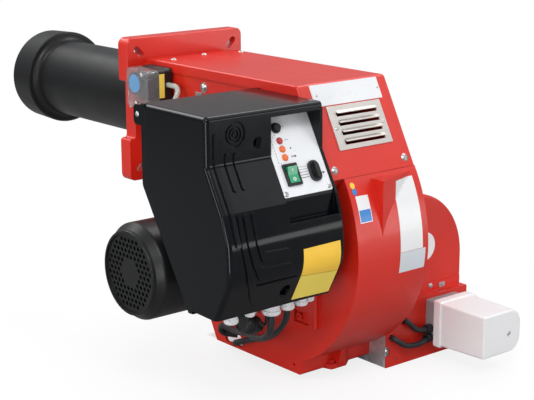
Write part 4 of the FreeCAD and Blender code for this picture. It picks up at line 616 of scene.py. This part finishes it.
# Marks on the rocker: a bar and a ring, as on any mains switch
def rocker_marks():
    tilt = Matrix.Rotation(math.radians(KEY_TILT), 3, "X")
    pivot = on_panel(*KEY_PIVOT)

    def shape(points):
        low = []
        for x, down in points:
            out = KEY_MIDDLE_OUT + KEY_RISE * abs(down) / KEY_HALF + KEY_GAP
            low.append(pivot + tilt @ (Vector((x, 0, 0)) + PANEL_WAY * down + PANEL_OUT * out))
        return slab(low, tilt @ PANEL_OUT, PRINT_THICK)

    parts = [shape(bar_points(*KEY_BAR))]
    outer, inner = [disc_points(0, KEY_RING_DOWN, r, KEY_RING_POINTS) for r in KEY_RING_RADII]
    for i in range(KEY_RING_POINTS):
        j = (i + 1) % KEY_RING_POINTS
        parts.append(shape([outer[i], outer[j], inner[j], inner[i]]))
    put("rocker_marks", *join(parts), "white_ink", "white_plate", body="rocker")


rocker_marks()


# Labels laid on the surface behind them: rays along +Y find the CAD surface under each point
def surface_of(name):
    mesh = nodes[name].data
    mesh.calc_loop_triangles()
    verts = [v.co.copy() for v in mesh.vertices]
    return BVHTree.FromPolygons(verts, [tuple(t.vertices) for t in mesh.loop_triangles])


def laid_on(tree, x, z, lift):
    """Point in millimetres in front of the surface, looking along +Y."""
    hit = tree.ray_cast(Vector((x, -900.0, z)) * MM, Vector((0, 1, 0)))[0]
    return Vector((x, hit.y / MM - lift, z))


def laid_sheet(name, tree, top, foot, look, slot, down, lift=0.15, thick=0.25, across=8):
    """A thin sheet; top and foot are its left and right ends there, as (x, z) pairs."""
    (left0, right0), (left1, right1) = [[Vector(end) for end in row] for row in (top, foot)]
    lines = [(left0.lerp(left1, k / down), right0.lerp(right1, k / down)) for k in range(down + 1)]
    verts, faces = [], []
    wide = across + 1
    for left, right in lines:
        for k in range(wide):
            spot = left.lerp(right, k / across)
            verts.append(laid_on(tree, spot.x, spot.y, lift + thick))
    count = len(verts)
    verts += [v + Vector((0, thick, 0)) for v in verts]
    for r in range(down):
        for k in range(across):
            a = r * wide + k
            faces.append((a, a + 1, a + 1 + wide, a + wide))
            faces.append((count + a, count + a + wide, count + a + 1 + wide, count + a + 1))
    last = down * wide
    for k in range(across):
        faces.append((k, k + 1, count + k + 1, count + k))
        faces.append((last + k, last + k + 1, count + last + k + 1, count + last + k))
    for r in range(down):
        for a, b in ((r * wide, (r + 1) * wide), (r * wide + across, (r + 1) * wide + across)):
            faces.append((a, b, count + b, count + a))
    put(name, verts, faces, look, slot)


def laid_disc(name, tree, x, z, r, look, slot, lift=0.15, thick=0.25):
    rings = [[laid_on(tree, a, b, lift + thick) for a, b in disc_points(x, z, r * part)]
             for part in (0.5, 1.0)]
    edge = [v + Vector((0, thick, 0)) for v in rings[1]]
    verts = [laid_on(tree, x, z, lift + thick)] + rings[0] + rings[1] + edge
    count = len(edge)
    faces = [(0, 1 + i, 1 + (i + 1) % count) for i in range(count)]
    for start in (1, 1 + count):
        faces += [(start + i, start + (i + 1) % count, start + count + (i + 1) % count, start + count + i)
                  for i in range(count)]
    faces.append(tuple(1 + 2 * count + i for i in range(count)))
    put(name, verts, faces, look, slot)


scroll = surface_of("fan_scroll")
laid_sheet("rating_label", scroll, ((31.0, -57.0), (75.0, -57.0)), ((29.5, -164.0), (76.0, -164.0)),
           "white_label", "white_plate", down=24)
laid_sheet("lower_label", scroll, ((29.5, -164.6), (82.0, -164.6)), ((29.0, -196.0), (81.5, -196.0)),
           "pale_label", "white_plate", down=8)
laid_sheet("sticker_back", scroll, ((-46.0, -69.6), (-22.0, -70.2)), ((-46.0, -108.0), (-22.0, -108.0)),
           "white_label", "white_plate", down=8)
laid_sheet("sticker_blue", scroll, ((-44.8, -89.6), (-23.2, -89.6)), ((-44.8, -106.6), (-23.2, -106.6)),
           "blue_label", "blue_dial", down=6, lift=0.45, thick=0.08)
laid_disc("yellow_dot", scroll, -45.4, -55.0, 4.4, "yellow_label", "lamp_lens")
laid_disc("blue_dot", scroll, -44.8, -63.6, 4.4, "blue_label", "blue_dial")

box_shell = surface_of("control_box_cover")
laid_sheet("yellow_label", box_shell,
           ((-168.5, -120.0), (-100.0, -119.0)), ((-168.5, -160.0), (-97.0, -166.0)),
           "yellow_label", "lamp_lens", down=14)
laid_sheet("yellow_label_foot", box_shell,
           ((-168.5, -160.5), (-97.0, -166.5)), ((-168.0, -200.5), (-96.5, -202.5)),
           "pale_yellow", "lamp_lens", down=12)


# Cross ribs on the long band beside the box's left edge
def band_ribs():
    left, right = RIB_XS
    corners = ((left, -RIB_HALF), (right, -RIB_HALF), (right, RIB_HALF), (left, RIB_HALF))
    parts = []
    z = RIB_TOP_Z
    while z > RIB_FOOT_Z:
        low = [laid_on(box_shell, x, z + dz, 0.0) for x, dz in corners]
        parts.append(slab(low, Vector((0, -1, 0)), RIB_PROUD))
        z -= RIB_STEP
    put("band_ribs", *join(parts), "black_shell", "black_shell")


band_ribs()


# Yellow stripe on the front of the pressure switch
def switch_stripe():
    (left, right), (low, high) = STRIPE_XS, STRIPE_ZS
    corners = [(left, low), (right, low), (right, high), (left, high)]
    plate = slab([(x, STRIPE_Y, z) for x, z in corners], Vector((0, -1, 0)), STRIPE_THICK)
    put("switch_stripe", *plate, "pale_yellow", "lamp_lens")


switch_stripe()


# Ribbed clamping nuts under the cable glands
def gland_nuts():
    parts = []
    for x, y, z, r, bore in GLANDS:
        verts, faces = [], []
        for i in range(NUT_POINTS):
            turn = 2 * math.pi * i / NUT_POINTS
            for k, (share, dz) in enumerate(NUT_PROFILE):
                wave = 1.0 + NUT_RIB_SHARE * math.cos(NUT_RIBS * turn) if 0 < k < 3 else 1.0
                reach = r * share * wave
                verts.append(Vector((x + reach * math.cos(turn), y + reach * math.sin(turn), z + dz)))
            hole = max(bore, NUT_SMALLEST_BORE)
            for dz in NUT_BORE_ENDS:
                verts.append(Vector((x + hole * math.cos(turn), y + hole * math.sin(turn), z + dz)))
        size = len(NUT_PROFILE) + len(NUT_BORE_ENDS)
        for i in range(NUT_POINTS):
            j = (i + 1) % NUT_POINTS
            faces += [(i * size + k, j * size + k, j * size + (k + 1) % size, i * size + (k + 1) % size)
                      for k in range(size)]
        parts.append((verts, faces))
    put("gland_nuts", *join(parts), "white_cover", "white_cover")


gland_nuts()


# Floor, world and lights
def set_floor():
    low = CAD_BOX[0][2] - FLOOR_GAP
    corners = [(x * FLOOR_HALF, y * FLOOR_HALF, low) for x, y in ((-1, -1), (1, -1), (1, 1), (-1, 1))]
    mesh = bpy.data.meshes.new("floor")
    mesh.from_pydata(corners, [], [(0, 1, 2, 3)])
    floor = bpy.data.objects.new("floor", mesh)
    scene.collection.objects.link(floor)
    mat = bpy.data.materials.new("floor_white")
    mat.use_nodes = True
    mat.node_tree.nodes.clear()
    tree = Nodes(mat.node_tree)
    out = tree.add("ShaderNodeOutputMaterial")
    shaded = tree.add("ShaderNodeBsdfDiffuse")
    shaded.inputs["Color"].default_value = (FLOOR_SHADED, FLOOR_SHADED, FLOOR_SHADED, 1)
    bounced = tree.add("ShaderNodeBsdfDiffuse")
    bounced.inputs["Color"].default_value = (FLOOR_BOUNCED, FLOOR_BOUNCED, FLOOR_BOUNCED, 1)
    glow = tree.add("ShaderNodeEmission")
    glow.inputs["Strength"].default_value = 1.0
    # the shadow fades out away from the object, and it is deepest under the base and the intake
    place = tree.add("ShaderNodeTexCoord").outputs["Object"]
    away = tree.calc("LENGTH", place, kind=VECTOR_MATH)["Value"]
    amount = tree.span(away, *SHADOW_FADE)
    for centre, half in FEET:
        from_foot = tree.calc("SUBTRACT", place, centre, VECTOR_MATH)["Vector"]
        shares = tree.calc("DIVIDE", from_foot, half, VECTOR_MATH)["Vector"]
        sizes = tree.split(tree.calc("ABSOLUTE", shares, kind=VECTOR_MATH)["Vector"])
        widest = tree.calc("MAXIMUM", sizes["X"], sizes["Y"])["Value"]
        amount = tree.calc("MULTIPLY", amount, tree.span(widest, *FOOT_FADE))["Value"]
    seen = tree.mixed(amount, shaded.outputs[0], glow.outputs[0])
    path = tree.add("ShaderNodeLightPath").outputs
    tree.link(tree.mixed(path["Is Camera Ray"], bounced.outputs[0], seen), out.inputs[0])
    mesh.materials.append(mat)


def set_world():
    world = bpy.data.worlds.new("studio")
    scene.world = world
    world.use_nodes = True
    world.node_tree.nodes.clear()
    tree = Nodes(world.node_tree)
    out = tree.add("ShaderNodeOutputWorld")
    background = tree.add("ShaderNodeBackground")
    background.inputs["Color"].default_value = (1, 1, 1, 1)
    light = tree.add("ShaderNodeBackground")
    light.inputs["Color"].default_value = WORLD_TINT
    # mirrored rays see it dimmer towards the walls and brighter towards the ceiling
    way = tree.split(tree.add("ShaderNodeTexCoord").outputs["Generated"])
    path = tree.add("ShaderNodeLightPath").outputs
    strength = tree.add("ShaderNodeMix")
    strength.inputs["A"].default_value = WORLD_STRENGTH
    tree.link(path["Is Glossy Ray"], strength.inputs["Factor"])
    tree.link(tree.span(way["Z"], *WORLD_MIRRORED), strength.inputs["B"])
    tree.link(strength.outputs["Result"], light.inputs["Strength"])
    # polished faces see part of the white background
    shine = tree.calc("MULTIPLY", path["Is Glossy Ray"], WHITE_MIRRORED)["Value"]
    seen = tree.calc("MAXIMUM", path["Is Camera Ray"], shine)["Value"]
    white = tree.calc("MAXIMUM", seen, path["Is Transmission Ray"])["Value"]
    tree.link(tree.mixed(white, light.outputs[0], background.outputs[0]), out.inputs[0])


def softbox(name, place, target, size, power):
    data = bpy.data.lights.new(name, "AREA")
    data.shape = "RECTANGLE"
    data.size, data.size_y = size
    data.energy = power
    lamp = bpy.data.objects.new(name, data)
    scene.collection.objects.link(lamp)
    lamp.location = place
    lamp.rotation_euler = (Vector(target) - Vector(place)).to_track_quat("-Z", "Y").to_euler()


set_floor()
set_world()
for one in SOFTBOXES:
    softbox(*one)
